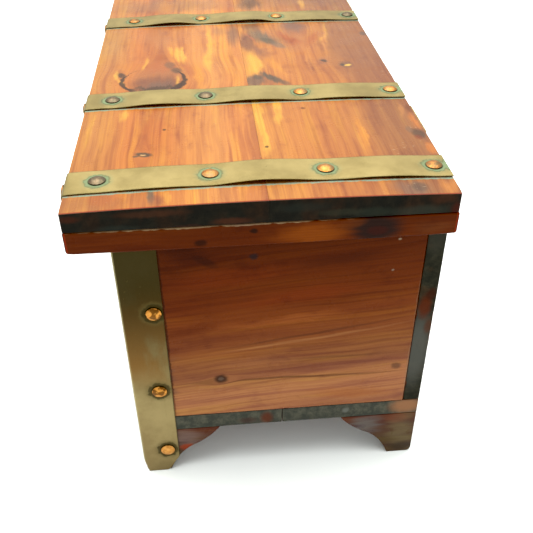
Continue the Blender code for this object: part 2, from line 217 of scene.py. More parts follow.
def turned_points(profile, sides):
    """Points and faces of a profile of (radius, height) turned about Z; it starts and ends on Z."""
    points = [(0, 0, profile[0][1])]
    for radius, height in profile[1:-1]:
        for step in range(sides):
            angle = 2 * math.pi * step / sides
            points.append((radius * math.cos(angle), radius * math.sin(angle), height))
    points.append((0, 0, profile[-1][1]))
    last = len(points) - 1
    rings = len(profile) - 2
    faces = []
    for i in range(sides):
        j = (i + 1) % sides
        faces.append((0, 1 + j, 1 + i))
        for r in range(rings - 1):
            a, b = 1 + r * sides, 1 + (r + 1) * sides
            faces.append((a + i, a + j, b + j, b + i))
        top = 1 + (rings - 1) * sides
        faces.append((last, top + i, top + j))
    return np.array(points), faces


def dome(radius, rise, count):
    """(radius, height) up a spherical dome from its rim, at height 0, to its middle."""
    ball = (radius**2 + rise**2) / (2 * rise)
    angles = np.linspace(math.asin(radius / ball), 0, count)[:-1]
    return [(ball * math.sin(a), rise - ball + ball * math.cos(a)) for a in angles] + [(0, rise)]


# ---- Node helpers --------------------------------------------------------------------
def linear(colour):
    """An sRGB colour, 0 to 255, as the linear RGBA that a shader takes."""
    shares = [c / 255 for c in colour]
    return (*[c / 12.92 if c <= 0.04045 else ((c + 0.055) / 1.055) ** 2.4 for c in shares], 1.0)


class Value:
    """A node's output; +, -, * and / between values add Math nodes."""

    def __init__(self, surface, socket):
        self.surface = surface
        self.socket = socket

    def math(self, operation, *others):
        """A Math node with this value as its first input."""
        inputs = dict(enumerate((self, *others)))
        return self.surface.node("ShaderNodeMath", inputs, operation=operation)

    def __add__(self, other):
        return self.math("ADD", other)

    def __sub__(self, other):
        return self.math("SUBTRACT", other)

    def __rsub__(self, other):
        return self.surface.node("ShaderNodeMath", {0: other, 1: self}, operation="SUBTRACT")

    def __mul__(self, other):
        return self.math("MULTIPLY", other)

    def __truediv__(self, other):
        return self.math("DIVIDE", other)

    def __abs__(self):
        return self.math("ABSOLUTE")


class Surface:
    """A material whose nodes are added by short calls that each return a Value.

    A colour is a Value, a listed sRGB colour of three numbers, or a linear RGBA of four.
    """

    def __init__(self, name, tone=1.0, **constants):
        """tone scales every listed colour; constants are set on the shader's own sockets."""
        self.tone = tone
        self.material = bpy.data.materials.new(name)
        self.material.use_nodes = True
        self.tree = self.material.node_tree
        self.shader = self.tree.nodes["Principled BSDF"]
        for key, value in constants.items():
            self.shader.inputs[key.replace("_", " ")].default_value = value
        metres = self.node("ShaderNodeTexCoord", output="Object")
        self.place = self.node("ShaderNodeVectorMath", {0: metres, "Scale": 1 / MM}, operation="SCALE")
        split = self.node("ShaderNodeSeparateXYZ", {0: self.place}).socket.node
        self.xyz = [Value(self, socket) for socket in split.outputs]

    def node(self, kind, inputs=None, output=0, **settings):
        """Adds a node and returns one of its outputs."""
        made = self.tree.nodes.new(kind)
        for key, value in settings.items():
            setattr(made, key, value)
        for key, value in (inputs or {}).items():
            if isinstance(value, Value):
                self.tree.links.new(value.socket, made.inputs[key])
            else:
                made.inputs[key].default_value = value
        return Value(self, made.outputs[output])

    def paint(self, colour):
        """A listed sRGB colour as the surface's own linear colour."""
        red, green, blue, alpha = linear(colour)
        return (red * self.tone, green * self.tone, blue * self.tone, alpha)

    def combine(self, x, y, z=0.0):
        """A place from its coordinates."""
        return self.node("ShaderNodeCombineXYZ", {0: x, 1: y, 2: z})

    def length(self, vector):
        """How far a place is from its origin."""
        return self.node("ShaderNodeVectorMath", {0: vector}, "Value", operation="LENGTH")

    def distance(self, vector, x, y):
        """How far a place is from a point of the flat."""
        inputs = {0: vector, 1: (x, y, 0)}
        return self.node("ShaderNodeVectorMath", inputs, "Value", operation="DISTANCE")

    def noise(self, place, scale, shift=0.0, detail=3.0, roughness=0.5):
        """Noise from 0 to 1; scale is features per mm, one number or one for each axis."""
        if isinstance(scale, float):
            scale = (scale, scale, scale)
        inputs = {"Vector": place, "Location": (shift, shift * 0.7, shift * 1.3), "Scale": scale}
        inputs = {"Vector": self.node("ShaderNodeMapping", inputs), "Scale": 1.0, "Detail": detail}
        return self.node("ShaderNodeTexNoise", {**inputs, "Roughness": roughness})

    def span(self, value, start, end, low=0.0, high=1.0):
        """Maps start..end to low..high with an S-curve, held outside."""
        inputs = {0: value, 1: start, 2: end, 3: low, 4: high}
        return self.node("ShaderNodeMapRange", inputs, interpolation_type="SMOOTHSTEP")

    def mix(self, share, first, second, blend="MIX"):
        """Goes from the first colour to the second as the share goes from 0 to 1."""
        inputs = {0: share}
        for key, colour in ((6, first), (7, second)):
            listed = isinstance(colour, tuple) and len(colour) == 3
            inputs[key] = self.paint(colour) if listed else colour
        return self.node("ShaderNodeMix", inputs, 2, data_type="RGBA", blend_type=blend)

    def tint(self, share, colour, red, green, blue):
        """Multiplies a colour's channels by that much where the share is 1."""
        return self.mix(share, colour, (red, green, blue, 1), "MULTIPLY")

    def ramp(self, value, stops):
        """Colours by position; stops are (position, sRGB colour)."""
        low, high = stops[0][0], stops[-1][0]
        share = self.node("ShaderNodeMapRange", {0: value, 1: low, 2: high})
        ramp = self.node("ShaderNodeValToRGB", {0: share})
        elements = ramp.socket.node.color_ramp.elements
        while len(elements) < len(stops):
            elements.new(0.5)
        for element, (position, colour) in zip(elements, stops):
            element.position = (position - low) / (high - low)
            element.color = self.paint(colour)
        return ramp

    def mark(self, colour, place, at, size, turn, paint, strength=1.0, soft=0.6):
        """Paints a soft ellipse: its middle, half sizes and turn in degrees, on a flat place."""
        inputs = {"Vector": place, "Location": (*at, 0), "Scale": (*size, 1)}
        inputs["Rotation"] = (0, 0, math.radians(turn))
        local = self.node("ShaderNodeMapping", inputs, vector_type="TEXTURE")
        share = self.span(self.length(local), 1.0, 1.0 - soft, 0.0, strength)
        return self.mix(share, colour, paint)

    def finish(self, colour, roughness, height, depth):
        """Links the colour, roughness and bump; depth is the bump's height in metres."""
        bump = self.node("ShaderNodeBump", {"Height": height, "Distance": depth, "Strength": 1.0})
        for key, value in (("Base Color", colour), ("Roughness", roughness), ("Normal", bump)):
            self.tree.links.new(value.socket, self.shader.inputs[key])
        return self.material


# ---- Cedar ---------------------------------------------------------------------------
BARK, VERDIGRIS_LINE, BARE_WOOD = (66, 52, 42), (104, 130, 114), (255, 226, 184)
ARRIS_HIGHLIGHT = (160, 52, 20)  # a painted highlight along the arrises of a board's ends
SMALL_MARK, HAIRLINE, THIN_MARK = 11.0, 1.0, 1.6  # half sizes of marks, mm
MARK_GROWTH = (1.15, 1.25)  # a soft edge makes a mark look smaller than it is


class Cedar(Surface):
    """Varnished red cedar; distances are in mm."""

    def __init__(self, name, grain, across, seed, tone, gloss, coat):
        """grain and across are the axes along and across the board's face."""
        super().__init__(name, tone, Specular_IOR_Level=gloss, Coat_Weight=coat, Coat_Roughness=0.2)
        self.seed = seed
        self.along, self.over, self.through = (self.xyz[k] for k in (grain, across, 3 - grain - across))
        self.flat = self.combine(self.along, self.over, self.through)
        self.jitter = [self.waver((0.2, 0.3, 0), step, 2.2) for step in (53, 59)]

    def cloud(self, scale, step, detail=3.0, roughness=0.5):
        """Noise on the board; step sets it apart from the board's other noises."""
        return self.noise(self.flat, scale, self.seed + step, detail, roughness)

    def waver(self, scale, step, size, detail=3.0, roughness=0.5):
        """A distance that wanders up to half of size either way."""
        return (self.cloud(scale, step, detail, roughness) - 0.5) * size

    def bend(self, knots, slope):
        """The place across the grain, which sways, slopes and is pushed aside by knots."""
        bent = self.over + self.waver((0.009, 0.018, 0.018), 0, 9.0, 2.0)
        if slope:
            bent = bent - self.along * slope
        for knot_along, knot_over, radius, reach in knots:
            offset = bent - knot_over
            near = (self.along - knot_along) / reach
            fall = (near * near * -1.0).math("EXPONENT")
            squared = offset * offset - fall * (radius * radius)
            bent = squared.math("MAXIMUM", 0.0).math("SQRT") * offset.math("SIGN") + knot_over
        return bent

    def paint_marks(self, colour, bent, marks, drift):
        """Small marks keep a crisp outline, thin ones follow the grain, the rest drift."""
        cloudy = self.combine(
            self.along + self.waver((0.012, 0.17, 0), 41, drift, 4.0, 0.6),
            self.over + self.waver((0.03, 0.07, 0), 47, 12.0, 4.0, 0.6),
        )
        crisp = self.combine(self.along + self.jitter[0], self.over + self.jitter[1])
        with_grain = self.combine(self.along, bent)
        for u, v, half_u, half_v, turn, paint, strength in marks:
            small = max(half_u, half_v) < SMALL_MARK or min(half_u, half_v) < HAIRLINE
            place = crisp if small else with_grain if half_v < THIN_MARK else cloudy
            soft = 0.6 if small or strength > 0.8 else 0.8
            size = (half_u * MARK_GROWTH[0], half_v * MARK_GROWTH[1])
            colour = self.mark(colour, place, (u, v), size, turn, paint, strength, soft)
        return colour

    def bark_ring(self, colour, u, v, half_u, half_v, width):
        """Paints the bark round a knot, open where the grain runs through and thin at one end."""
        bark = self.waver((0.09, 0.09, 0), 83, 7.0, 4.0, 0.6)
        ahead, beside = (self.along - u) / half_u, (self.over - v) / half_v
        local = self.combine((self.along - u + bark) / half_u, (self.over - v + bark) / half_v)
        thick = self.span(ahead, -0.75, 0.1, 0.1, 1.0) * width
        thick = thick * self.span(self.cloud((0.12, 0.12, 0), 89), 0.3, 0.65, 0.45, 1.3)
        inside = abs(self.length(local) - 1.0) / thick.math("MAXIMUM", 0.001)
        share = self.span(inside, 1.0, 0.4, 0.0, 0.9) * self.span(abs(beside), 0.30, 0.75)
        return self.mix(share, colour, BARK)

    def stain(self, colour, stains):
        """Verdigris that has crept from the straps' edges along the top of the lid."""
        ragged = self.waver((0.5, 0.22, 0.22), 79, 3.4, 4.0, 0.7)
        on_top = self.span(self.through, LID_EDGE_TOP / MM - 1.0, LID_EDGE_TOP / MM - 0.3)
        for place in stains:
            line = self.span(abs(self.along - place) + ragged, 1.3, 0.3, 0.0, 0.8)
            colour = self.mix(line * on_top, colour, linear(VERDIGRIS_LINE))
        return colour

    def rub(self, colour, wear):
        """Pale flecks where the varnish is rubbed through."""
        flecks = self.cloud((1.5, 0.32, 0), 97, 2.0)
        rubbed = self.cloud((0.014, 0.014, 0), 101, 2.0)
        share = self.span(flecks, 0.69, 0.76) * self.span(rubbed, 0.48, 0.66, 0.0, wear)
        return self.mix(share, colour, BARE_WOOD)

    def end_grain(self, colour, ends, marks):
        """The colour with dark end grain past the board's ends, and the share of it."""
        middle, half, paint, warmth = ends
        from_middle = abs(self.along - middle)
        # A painted highlight along the arris where the face meets the end grain.
        arris_highlight = self.span(abs(from_middle - (half - 1.0)), 0.9, 0.2, 0.0, 0.85)
        colour = self.mix(arris_highlight, colour, ARRIS_HIGHLIGHT)
        fibres = self.cloud((1.0, 0.17, 0.15), 61, 5.0, 0.7)
        warm = self.cloud((0.02, 0.06, 0.03), 67, 3.0, 0.6)
        ended = self.tint(self.span(fibres, 0.35, 0.75), paint, 2.2, 2.0, 1.8)
        ended = self.tint(self.span(warm, 0.5, 0.7, 0.0, warmth), ended, 2.6, 1.35, 0.9)
        place = self.combine(self.over + self.jitter[1], self.through + self.jitter[0])
        for v, w, half_v, half_w, mark_paint, strength in marks:
            ended = self.mark(ended, place, (v, w), (half_v, half_w), 0, mark_paint, strength, 0.7)
        on_end = self.span(from_middle, half - 1.0, half - 0.3)
        return self.mix(on_end, colour, ended), on_end


def cedar(
    name, grain, across, stripes, marks=(), knots=(), bark_rings=(), stains=(), ends=None, end_marks=(),
    seed=1.0, ring=4.5, lines=0.32, slope=0.0, drift=32.0, wear=0.0, tone=0.50, gloss=0.05, coat=0.0,
):
    """A board's material; distances are in mm.

    grain and across are the axes along and across the board's face. stripes are
    (position across, colour). marks are (along, across, half length, half width, turn,
    colour, strength), and drift is how far the large ones wander. knots are (along,
    across, radius, reach) and push the grain aside. bark_rings are (along, across, half
    length, half width, thickness as a share). stains are places along the grain where a
    strap's verdigris has crept. ends is (middle, half length, end-grain colour, how much
    of it is warm). end_marks are (across, through, half sizes, colour, strength).
    ring is the distance between growth lines, lines their strength, slope how much they
    climb, and wear the strength of rubbed flecks.
    """
    s = Cedar(name, grain, across, seed, tone, gloss, coat)
    bent = s.bend(knots, slope)
    board = s.combine(s.along, bent, s.through)
    fibre = s.noise(board, (0.02, 1.7, 1.7), seed + 11, 5.0, 0.62)
    band = s.noise(board, (0.006, 0.075, 0.075), seed + 23, 3.0, 0.55)
    flame = s.noise(board, (0.012, 0.20, 0.20), seed + 29, 5.0, 0.6)
    slip = s.noise(board, (0.004, 0.06, 0.06), seed + 5, 2.0) * 9.0
    wave = (bent * (2 * math.pi / ring) + slip).math("SINE")
    line = s.span(wave, 0.25, 1.0) * s.span(band, 0.38, 0.62, 0.15, 1.0)

    colour = s.ramp(bent, stripes)
    colour = s.tint(s.span(band, 0.50, 0.72), colour, 1.10, 1.22, 0.92)
    colour = s.tint(s.span(band, 0.50, 0.26), colour, 0.74, 0.66, 0.82)
    colour = s.tint(s.span(flame, 0.52, 0.32), colour, 0.78, 0.70, 0.84)
    colour = s.tint(s.span(flame, 0.55, 0.76), colour, 1.10, 1.24, 0.92)
    colour = s.paint_marks(colour, bent, marks, drift)
    for bark_ring in bark_rings:
        colour = s.bark_ring(colour, *bark_ring)
    colour = s.tint(line * lines, colour, 0.66, 0.54, 0.62)
    colour = s.tint(s.span(fibre, 0.60, 0.32), colour, 0.86, 0.80, 0.84)
    mottle = s.cloud((0.05, 0.08, 0.08), 31, 4.0, 0.6)
    colour = s.tint(s.span(mottle, 0.52, 0.80), colour, 0.76, 0.70, 0.84)
    if stains:
        colour = s.stain(colour, stains)
    if wear:
        colour = s.rub(colour, wear)
    roughness = s.span(s.cloud(0.06, 71, 5.0, 0.65), 0.3, 0.75, 0.24, 0.42)
    if ends:
        colour, on_end = s.end_grain(colour, ends, end_marks)
        roughness = roughness.math("MAXIMUM", on_end * 0.85)
    return s.finish(colour, roughness, fibre * 0.6 + line * -0.25, 0.08 * MM)


# Stripes are (place across the grain, colour). Marks and end marks are as cedar says.
FRONT_STRIPES = [
    (-110, (208, 137, 72)), (-98, (212, 142, 74)), (-88, (214, 140, 70)), (-76, (218, 134, 66)),
    (-62, (208, 130, 64)), (-50, (218, 136, 68)), (-36, (230, 154, 78)), (-22, (232, 158, 84)),
    (-10, (226, 146, 76)), (3, (220, 142, 74)),
]
BACK_STRIPES = [
    (0, (230, 158, 76)), (10, (226, 152, 74)), (24, (218, 142, 72)), (40, (210, 134, 70)),
    (56, (206, 132, 70)), (66, (212, 140, 72)), (74, (190, 124, 70)), (90, (176, 116, 70)),
    (106, (168, 108, 68)),
]
GOLD, DEEP_GOLD = (250, 188, 78), (238, 160, 66)
DARK, CHARCOAL, BROWN, RED = (56, 42, 32), (92, 70, 52), (124, 72, 42), (184, 88, 42)

# The lid's front board: the big knot near (48, -60), dark and golden streaks, a small knot.
FRONT_KNOTS = [(48, -60, 16, 26), (160, -66, 4, 10)]
FRONT_MARKS = [
    (44, -62, 30, 24, 0, (184, 120, 74), 0.7),
    (30, -38, 22, 5, 14, (196, 108, 58), 0.45),
    (34, -52, 13, 18, 0, (178, 114, 74), 0.5),
    (20, -46, 9, 6, 0, (186, 112, 64), 0.5),
    (24, -60, 12, 14, 0, (198, 110, 60), 0.4),
    (52, -62, 16, 19, 0, (146, 94, 66), 0.85),
    (56, -60, 11, 13, 0, (130, 98, 78), 0.8),
    (63, -64, 7, 17, 0, (118, 84, 62), 0.85),
    (-44, -60, 34, 24, 0, (206, 140, 84), 0.5),
    (-34, -98, 52, 13, 0, (200, 146, 80), 0.6),
    (-42, -3, 34, 6, 0, (148, 108, 78), 0.8),
    (-50, -14, 14, 7, 0, (176, 126, 86), 0.5),
    (-125, -55, 26, 60, 0, (166, 122, 84), 0.6),
    (212, -90, 12, 30, 0, (176, 116, 72), 0.5),
    (20, -53, 8, 4.2, 8, (138, 98, 68), 0.75),
    (6, -62, 22, 3.0, -4, RED, 0.2),
    (-10, -66, 26, 2.4, 3, RED, 0.15),
    (0, -45, 19, 3.4, 12, GOLD, 0.85),
    (-8, -52, 14, 2.2, 10, GOLD, 0.6),
    (14, -71, 14, 2.2, -8, GOLD, 0.65),
    (-28, -22, 42, 2.6, 1, GOLD, 0.75),
    (10, -24, 26, 4.6, -4, GOLD, 0.75),
    (40, -32, 34, 3.6, 2, DEEP_GOLD, 0.8),
    (35, -91, 9, 2.0, 0, GOLD, 0.8),
    (48, -87, 10, 1.6, 24, GOLD, 0.6),
    (36, -87, 7, 3.2, 24, (84, 66, 50), 0.85),
    (47, -47, 12, 1.8, -4, GOLD, 0.6),
    (31, -48, 7, 4.0, 14, (112, 86, 64), 0.8),
    (60, -62, 4, 14, 0, (96, 72, 52), 0.85),
    # A painted shade beside strap 2.
    (-66, -48, 6, 22, 0, (170, 88, 52), 0.5),
    (117, -100, 22, 2.2, 0, GOLD, 0.45),
    (103, -81, 12, 3.2, 4, GOLD, 0.7),
    (112, -63, 24, 3.2, -4, (188, 92, 44), 0.4),
    (140, -59, 32, 12, -8, (202, 104, 50), 0.4),
    (160.0, -66, 3.0, 5.6, -18, (92, 78, 60), 0.95),
    (161.5, -70.5, 1.2, 2.2, -10, (96, 84, 66), 0.8),
    (160.4, -66.4, 0.9, 2.0, -14, (236, 184, 120), 0.9),
    (128, -54.5, 1.6, 1.3, 0, DARK, 0.8),
    (208, -60, 9, 2.2, 4, (116, 104, 84), 0.8),
    (213, -57, 6, 4.5, 0, (176, 112, 70), 0.6),
    (210, -51, 9, 2.0, 4, GOLD, 0.4),
    (206, -86, 10, 8, 0, (196, 112, 62), 0.5),
    (-120, -60, 26, 8, 0, DEEP_GOLD, 0.4),
    (-185, -70, 30, 6, 2, RED, 0.5),
    (-200, -24, 22, 3.0, 0, GOLD, 0.7),
]
# The back board: dark patches along the joint, golden streaks, two knots, a duller edge.
BACK_KNOTS = [(-57, 50, 9, 26), (28, 72, 5, 16)]
BACK_MARKS = [
    (-14, 87, 90, 25, 0, (170, 115, 76), 0.7),
    (-32, 38, 34, 22, 0, (184, 122, 80), 0.5),
    (4, 16, 16, 8, 0, (176, 116, 74), 0.55),
    (0, 106, 76, 4, 0, (150, 104, 68), 0.45),
    (140, 92, 60, 22, 0, (178, 122, 74), 0.4),
    (-155, 60, 70, 60, 0, (142, 104, 76), 0.65),
    (-122, 16, 22, 13, 0, CHARCOAL, 0.75),
    (-60, 12, 11, 12, 0, (140, 98, 70), 0.75),
    (-20, 8, 24, 8, 0, (140, 92, 66), 0.85),
    (-48, 13, 13, 8, 25, (134, 112, 88), 0.6),
    (-31, 21, 21, 9.5, 28, (112, 106, 86), 0.78),
    (-24, 24, 10, 5.0, 30, (96, 90, 72), 0.6),
    (-14, 31, 10, 4.5, 30, (134, 116, 94), 0.6),
    (-28, 12, 20, 1.8, 24, (206, 128, 80), 0.6),
    (-1, 15, 12, 5, 10, (152, 102, 74), 0.6),
    (24, 8.5, 26, 6.5, 4, GOLD, 0.92),
    (30, 24, 22, 4.0, 20, DEEP_GOLD, 0.6),
    (57, 14, 16, 14, 20, (168, 110, 74), 0.75),
    (57, 8, 12, 7, 0, (130, 102, 80), 0.85),
    (52, 20, 13, 4.5, 38, (104, 92, 74), 0.9),
    (61, 27, 8, 3.5, 40, (128, 98, 74), 0.7),
    (50, 10, 5, 4, 0, (108, 92, 74), 0.7),
    (-59, 48, 18, 13, 0, (144, 114, 94), 0.8),
    (-20, 70, 42, 2.6, -5, (236, 162, 86), 0.55),
    (22, 51, 36, 2.2, 0, (236, 162, 86), 0.4),
    (-30, 40, 22, 7, 26, (186, 94, 50), 0.6),
    (-26, 60, 22, 6, -22, (186, 94, 50), 0.5),
    (-46, 74, 22, 1.8, -4, GOLD, 0.35),
    (-22, 68, 16, 1.8, -18, GOLD, 0.25),
    (23, 61, 9, 5, 0, (176, 120, 84), 0.5),
    (22, 61.5, 3.6, 2.4, 30, (94, 78, 62), 0.85),
    (31, 76.5, 7.5, 5.6, 0, (140, 100, 74), 0.8),
    (31, 74.0, 3.0, 2.2, 0, (92, 76, 60), 0.8),
    (32, 78, 2.4, 3.0, 30, (255, 206, 96), 1.0),
    (-36, 102.5, 6, 3.0, 0, (116, 92, 76), 0.8),
    (130, 5.2, 46, 2.8, 0, GOLD, 0.85),
    (106, 17.2, 24, 3.6, 0, GOLD, 0.85),
    (105.5, 34.5, 1.8, 1.7, 0, BROWN, 0.8),
    (158, 6, 1.5, 1.1, 0, DARK, 0.8),
    (146, 66, 30, 2.4, 0, DEEP_GOLD, 0.8),
    (126, 103, 14, 2.6, 0, (226, 140, 66), 0.7),
    (167, 102.5, 9, 3.0, 0, (224, 138, 64), 0.7),
    (147, 100.5, 8.0, 4.6, 10, (98, 78, 62), 0.8),
    (152, 99, 4, 2.6, 0, (150, 74, 44), 0.6),
    (141, 96, 5, 2.4, 0, (140, 108, 84), 0.6),
    (112, 97, 16, 1.8, 0, (226, 156, 84), 0.4),
    (110, 104, 8, 2.5, 0, BROWN, 0.6),
    (212, 79, 14, 13, 0, (146, 112, 88), 0.8),
    (211, 84, 6, 5, 0, (112, 92, 74), 0.7),
    (212, 100, 11, 6, 0, (228, 150, 74), 0.7),
    (-122, 62, 20, 3.0, 0, GOLD, 0.6),
    (-190, 40, 24, 5, 0, RED, 0.5),
    (-205, 74, 14, 3.0, 10, BROWN, 0.6),
]
# The lid's end grain, nearly black, with brown and greenish patches.
LID_END_MARKS = [
    (-60, 221, 26, 3, (92, 52, 30), 0.5),
    (-18, 214, 14, 3, (110, 56, 30), 0.45),
    (20, 220, 20, 4, (46, 50, 42), 0.5),
    (58, 215, 16, 4, (52, 60, 48), 0.5),
    (96, 221, 10, 4, (96, 54, 30), 0.4),
    (84, 214, 22, 5, (66, 70, 58), 0.5),
    (40, 216, 18, 3, (62, 62, 46), 0.5),
    (103, 214, 4, 7, (88, 30, 12), 0.7),
    (-102, 220, 8, 3, (84, 36, 14), 0.6),
    (-78, 213, 16, 3, (48, 54, 46), 0.5),
    (-40, 212, 10, 2, (70, 34, 18), 0.5),
]
# The end panel: dark red at its top and pale at its foot, with fine lines and a small knot.
# Its stripes darken towards the top partly as the wood does and partly as painted shade
# under the lid's overhang, and their pale foot is partly painted light from the floor.
END_STRIPES_AND_SHADE = [
    (50, (202, 134, 88)), (64, (212, 142, 92)), (76, (210, 140, 90)), (92, (170, 106, 66)),
    (104, (172, 106, 60)), (116, (160, 90, 46)), (134, (148, 74, 30)), (152, (130, 58, 16)),
    (176, (114, 48, 12)), (212, (96, 39, 8)),
]
END_MARKS = [
    (16, 81.5, 90, 1.2, -5, (104, 62, 40), 0.65),
    (20, 113, 84, 1.4, 4, (206, 140, 84), 0.55),
    (30, 118, 70, 1.2, 5, (110, 60, 34), 0.6),
    (40, 96, 60, 1.3, -4, (130, 80, 50), 0.5),
    (-28.5, 86, 5.2, 4.2, 0, (64, 42, 32), 0.9),
    (-28.5, 86, 2.2, 1.8, 0, (120, 96, 80), 0.8),
    (-45, 188, 16, 12, 20, (72, 26, 12), 0.6),
    (-34, 180, 9, 3, -30, (56, 24, 14), 0.5),
    (30, 196, 60, 8, 2, (84, 32, 10), 0.5),
    (-20, 168, 44, 7, 8, (150, 62, 16), 0.4),
    (46, 176, 30, 6, 6, (84, 34, 14), 0.5),
    (-48, 128, 22, 5, 5, (112, 46, 14), 0.5),
    (8, 132, 50, 4, 6, (196, 112, 52), 0.4),
    (44, 148, 40, 8, 6, (120, 54, 16), 0.5),
    (-4, 98, 34, 5, 3, (192, 124, 76), 0.5),
    (66, 60, 26, 5, 0, (206, 138, 88), 0.5),
    (-40, 150, 26, 12, 10, (122, 52, 14), 0.5),
    (-6, 181.7, 3.0, 2.2, 0, (54, 40, 40), 0.85),
    (86, 87, 4, 3, 0, (90, 62, 50), 0.6),
    (-64, 84, 6, 26, 0, (126, 92, 76), 0.5),
    (-30, 106, 34, 5, 0, (178, 104, 52), 0.5),
    (78, 188, 1.2, 0.9, 0, (190, 170, 140), 0.8),
    (76, 166, 1.0, 0.9, 0, (190, 170, 140), 0.7),
    (20, 150, 50, 6, 6, (150, 62, 18), 0.5),
    (60, 65, 34, 5, -5, (196, 116, 62), 0.5),
]
# The walls, and the back one's end grain.
WALL_STRIPES = [
    (50, (196, 124, 74)), (78, (206, 132, 78)), (104, (176, 104, 56)), (128, (156, 80, 36)),
    (160, (164, 88, 42)), (190, (140, 66, 26)), (214, (122, 54, 20)),
]
WALL_MARKS = [
    (-120, 150, 46, 16, 4, (112, 42, 14), 0.6),
    (-118, 148, 7, 5, 0, (58, 34, 24), 0.9),
    (60, 96, 60, 9, -3, (196, 116, 58), 0.6),
    (96, 172, 6, 4, 0, (64, 38, 26), 0.85),
    (20, 180, 70, 7, 2, (150, 74, 34), 0.5),
    (150, 120, 30, 4, 6, (92, 40, 20), 0.5),
]
BACK_END_MARKS = [
    (100, 98, 44, 12, (106, 106, 98), 0.8),
    (136, 99, 13, 6, (112, 48, 22), 0.75),
    (120, 103, 9, 4, (104, 58, 36), 0.6),
    (146, 102, 6, 5, (76, 36, 24), 0.7),
    (190, 100, 20, 9, (76, 74, 64), 0.6),
]
# The bottom boards and their end grain, then the cleats under the lid's ends.
BASE_STRIPES = [
    (-90, (112, 62, 38)), (-40, (128, 70, 40)), (0, (104, 58, 36)), (50, (120, 66, 40)),
    (106, (110, 60, 36)),
]
BASE_MARKS = [(-40, -30, 50, 12, 0, (92, 48, 30), 0.6), (110, 40, 40, 8, 4, (150, 86, 50), 0.5)]
BASE_END_MARKS = [
    (1, 46, 6.0, 8, (116, 60, 40), 0.8),
    (-12, 45, 9, 4, (88, 62, 56), 0.6),
    (55, 48, 3.4, 3.4, (130, 132, 122), 0.8),
    (97, 48, 16, 10, (184, 130, 92), 0.9),
]
CLEAT_STRIPES = [(198, (114, 48, 12)), (205, (116, 50, 12)), (212, (106, 44, 10))]
CLEAT_MARKS = [
    (-6.5, 207, 2.4, 1.8, 0, (50, 26, 16), 0.9),
    (-35, 201, 4, 2.4, 0, (52, 24, 14), 0.8),
    (24, 203, 28, 7, 0, (168, 86, 22), 0.75),
    (60, 205, 17, 10, 0, (44, 34, 31), 0.9),
    (61, 203, 7, 3, 0, (76, 30, 22), 0.6),
    (46, 208, 10, 3, 10, (120, 60, 22), 0.6),
    (-70, 200, 22, 3, 0, (92, 34, 12), 0.5),
    (92, 203, 14, 5, 0, (124, 66, 30), 0.7),
    (-30, 211.4, 82, 0.6, 0, (200, 176, 130), 0.7),
]


def add_board(node, body, slot, material, *settings, box=None, shape=None):
    """Puts a finished board in a CAD board's place; the settings are board_mesh's."""
    low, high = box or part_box(node)
    mesh = board_mesh(node + "_cedar", low, high, *settings, shape=shape)
    add_piece(node + "_cedar", mesh, body, slot, material, node)


def lid_cedar(name, stripes, marks, knots, seed, bark_rings=()):
    """The lid's wood: glossy and rubbed on top, stained by the straps, dark on its ends."""
    half_strap = STRAP_WIDTH / MM / 2
    return cedar(
        name, X, Y, stripes, marks, knots, bark_rings,
        stains=[centre(f"lid_strap_{n}").x / MM + half_strap + 0.6 for n in STRAPS],
        ends=(0, LID_X / MM, (26, 24, 17), 0.7), end_marks=LID_END_MARKS,
        seed=seed, wear=0.6, tone=0.45, gloss=0.13, coat=0.03,
    )


JOINT_GAP = 0.03 * MM
PAST_JOINT = 0.65 * MM  # a lid board starts this much wider, so its joint is cut off square
CORNER_EASE = 20 * MM  # how far in from the lid's edge its rounded corners have an effect


def crown(points, outer_y, radius):
    """Cuts a lid board at the joint, rounds its two outer corners and crowns its top."""
    x, y, z = points.T
    inward = 1 if outer_y < LID_SEAM_Y else -1
    y = inward * np.minimum(inward * y, inward * LID_SEAM_Y - JOINT_GAP)
    reach = np.clip(radius - (LID_X - np.abs(x)), 0, radius)
    inset = radius - np.sqrt(radius**2 - reach**2)
    y = y + inward * inset * np.clip(1 - inward * (y - outer_y) / CORNER_EASE, 0, 1)
    share = np.clip((z - LID_UNDER) / (LID_EDGE_TOP - LID_UNDER), 0, 1.2)
    return np.stack([x, y, LID_UNDER + share * (lid_top_at(x, y) - LID_UNDER)], axis=1)


def make_lid_boards():
    """The two boards of the lid; the front one has the big knot."""
    front = lid_cedar(
        "cedar_lid_front", FRONT_STRIPES, FRONT_MARKS, FRONT_KNOTS, 3.0,
        bark_rings=[(47, -64, 22, 22.5, 0.115)],
    )
    back = lid_cedar("cedar_lid_back", BACK_STRIPES, BACK_MARKS, BACK_KNOTS, 8.0)
    for node, material, outer_y, radius in (
        ("lid_front_board", front, LID_FRONT_Y, 1.5 * MM),
        ("lid_back_board", back, LID_BACK_Y, 2.2 * MM),
    ):
        low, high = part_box(node)
        if outer_y < LID_SEAM_Y:
            high.y += PAST_JOINT
        else:
            low.y -= PAST_JOINT
        high.z = LID_EDGE_TOP
        shape = functools.partial(crown, outer_y=outer_y, radius=radius)
        add_board(node, "lid", "lid_cedar", material, 0.5 * MM, 3 * MM, box=(low, high), shape=shape)


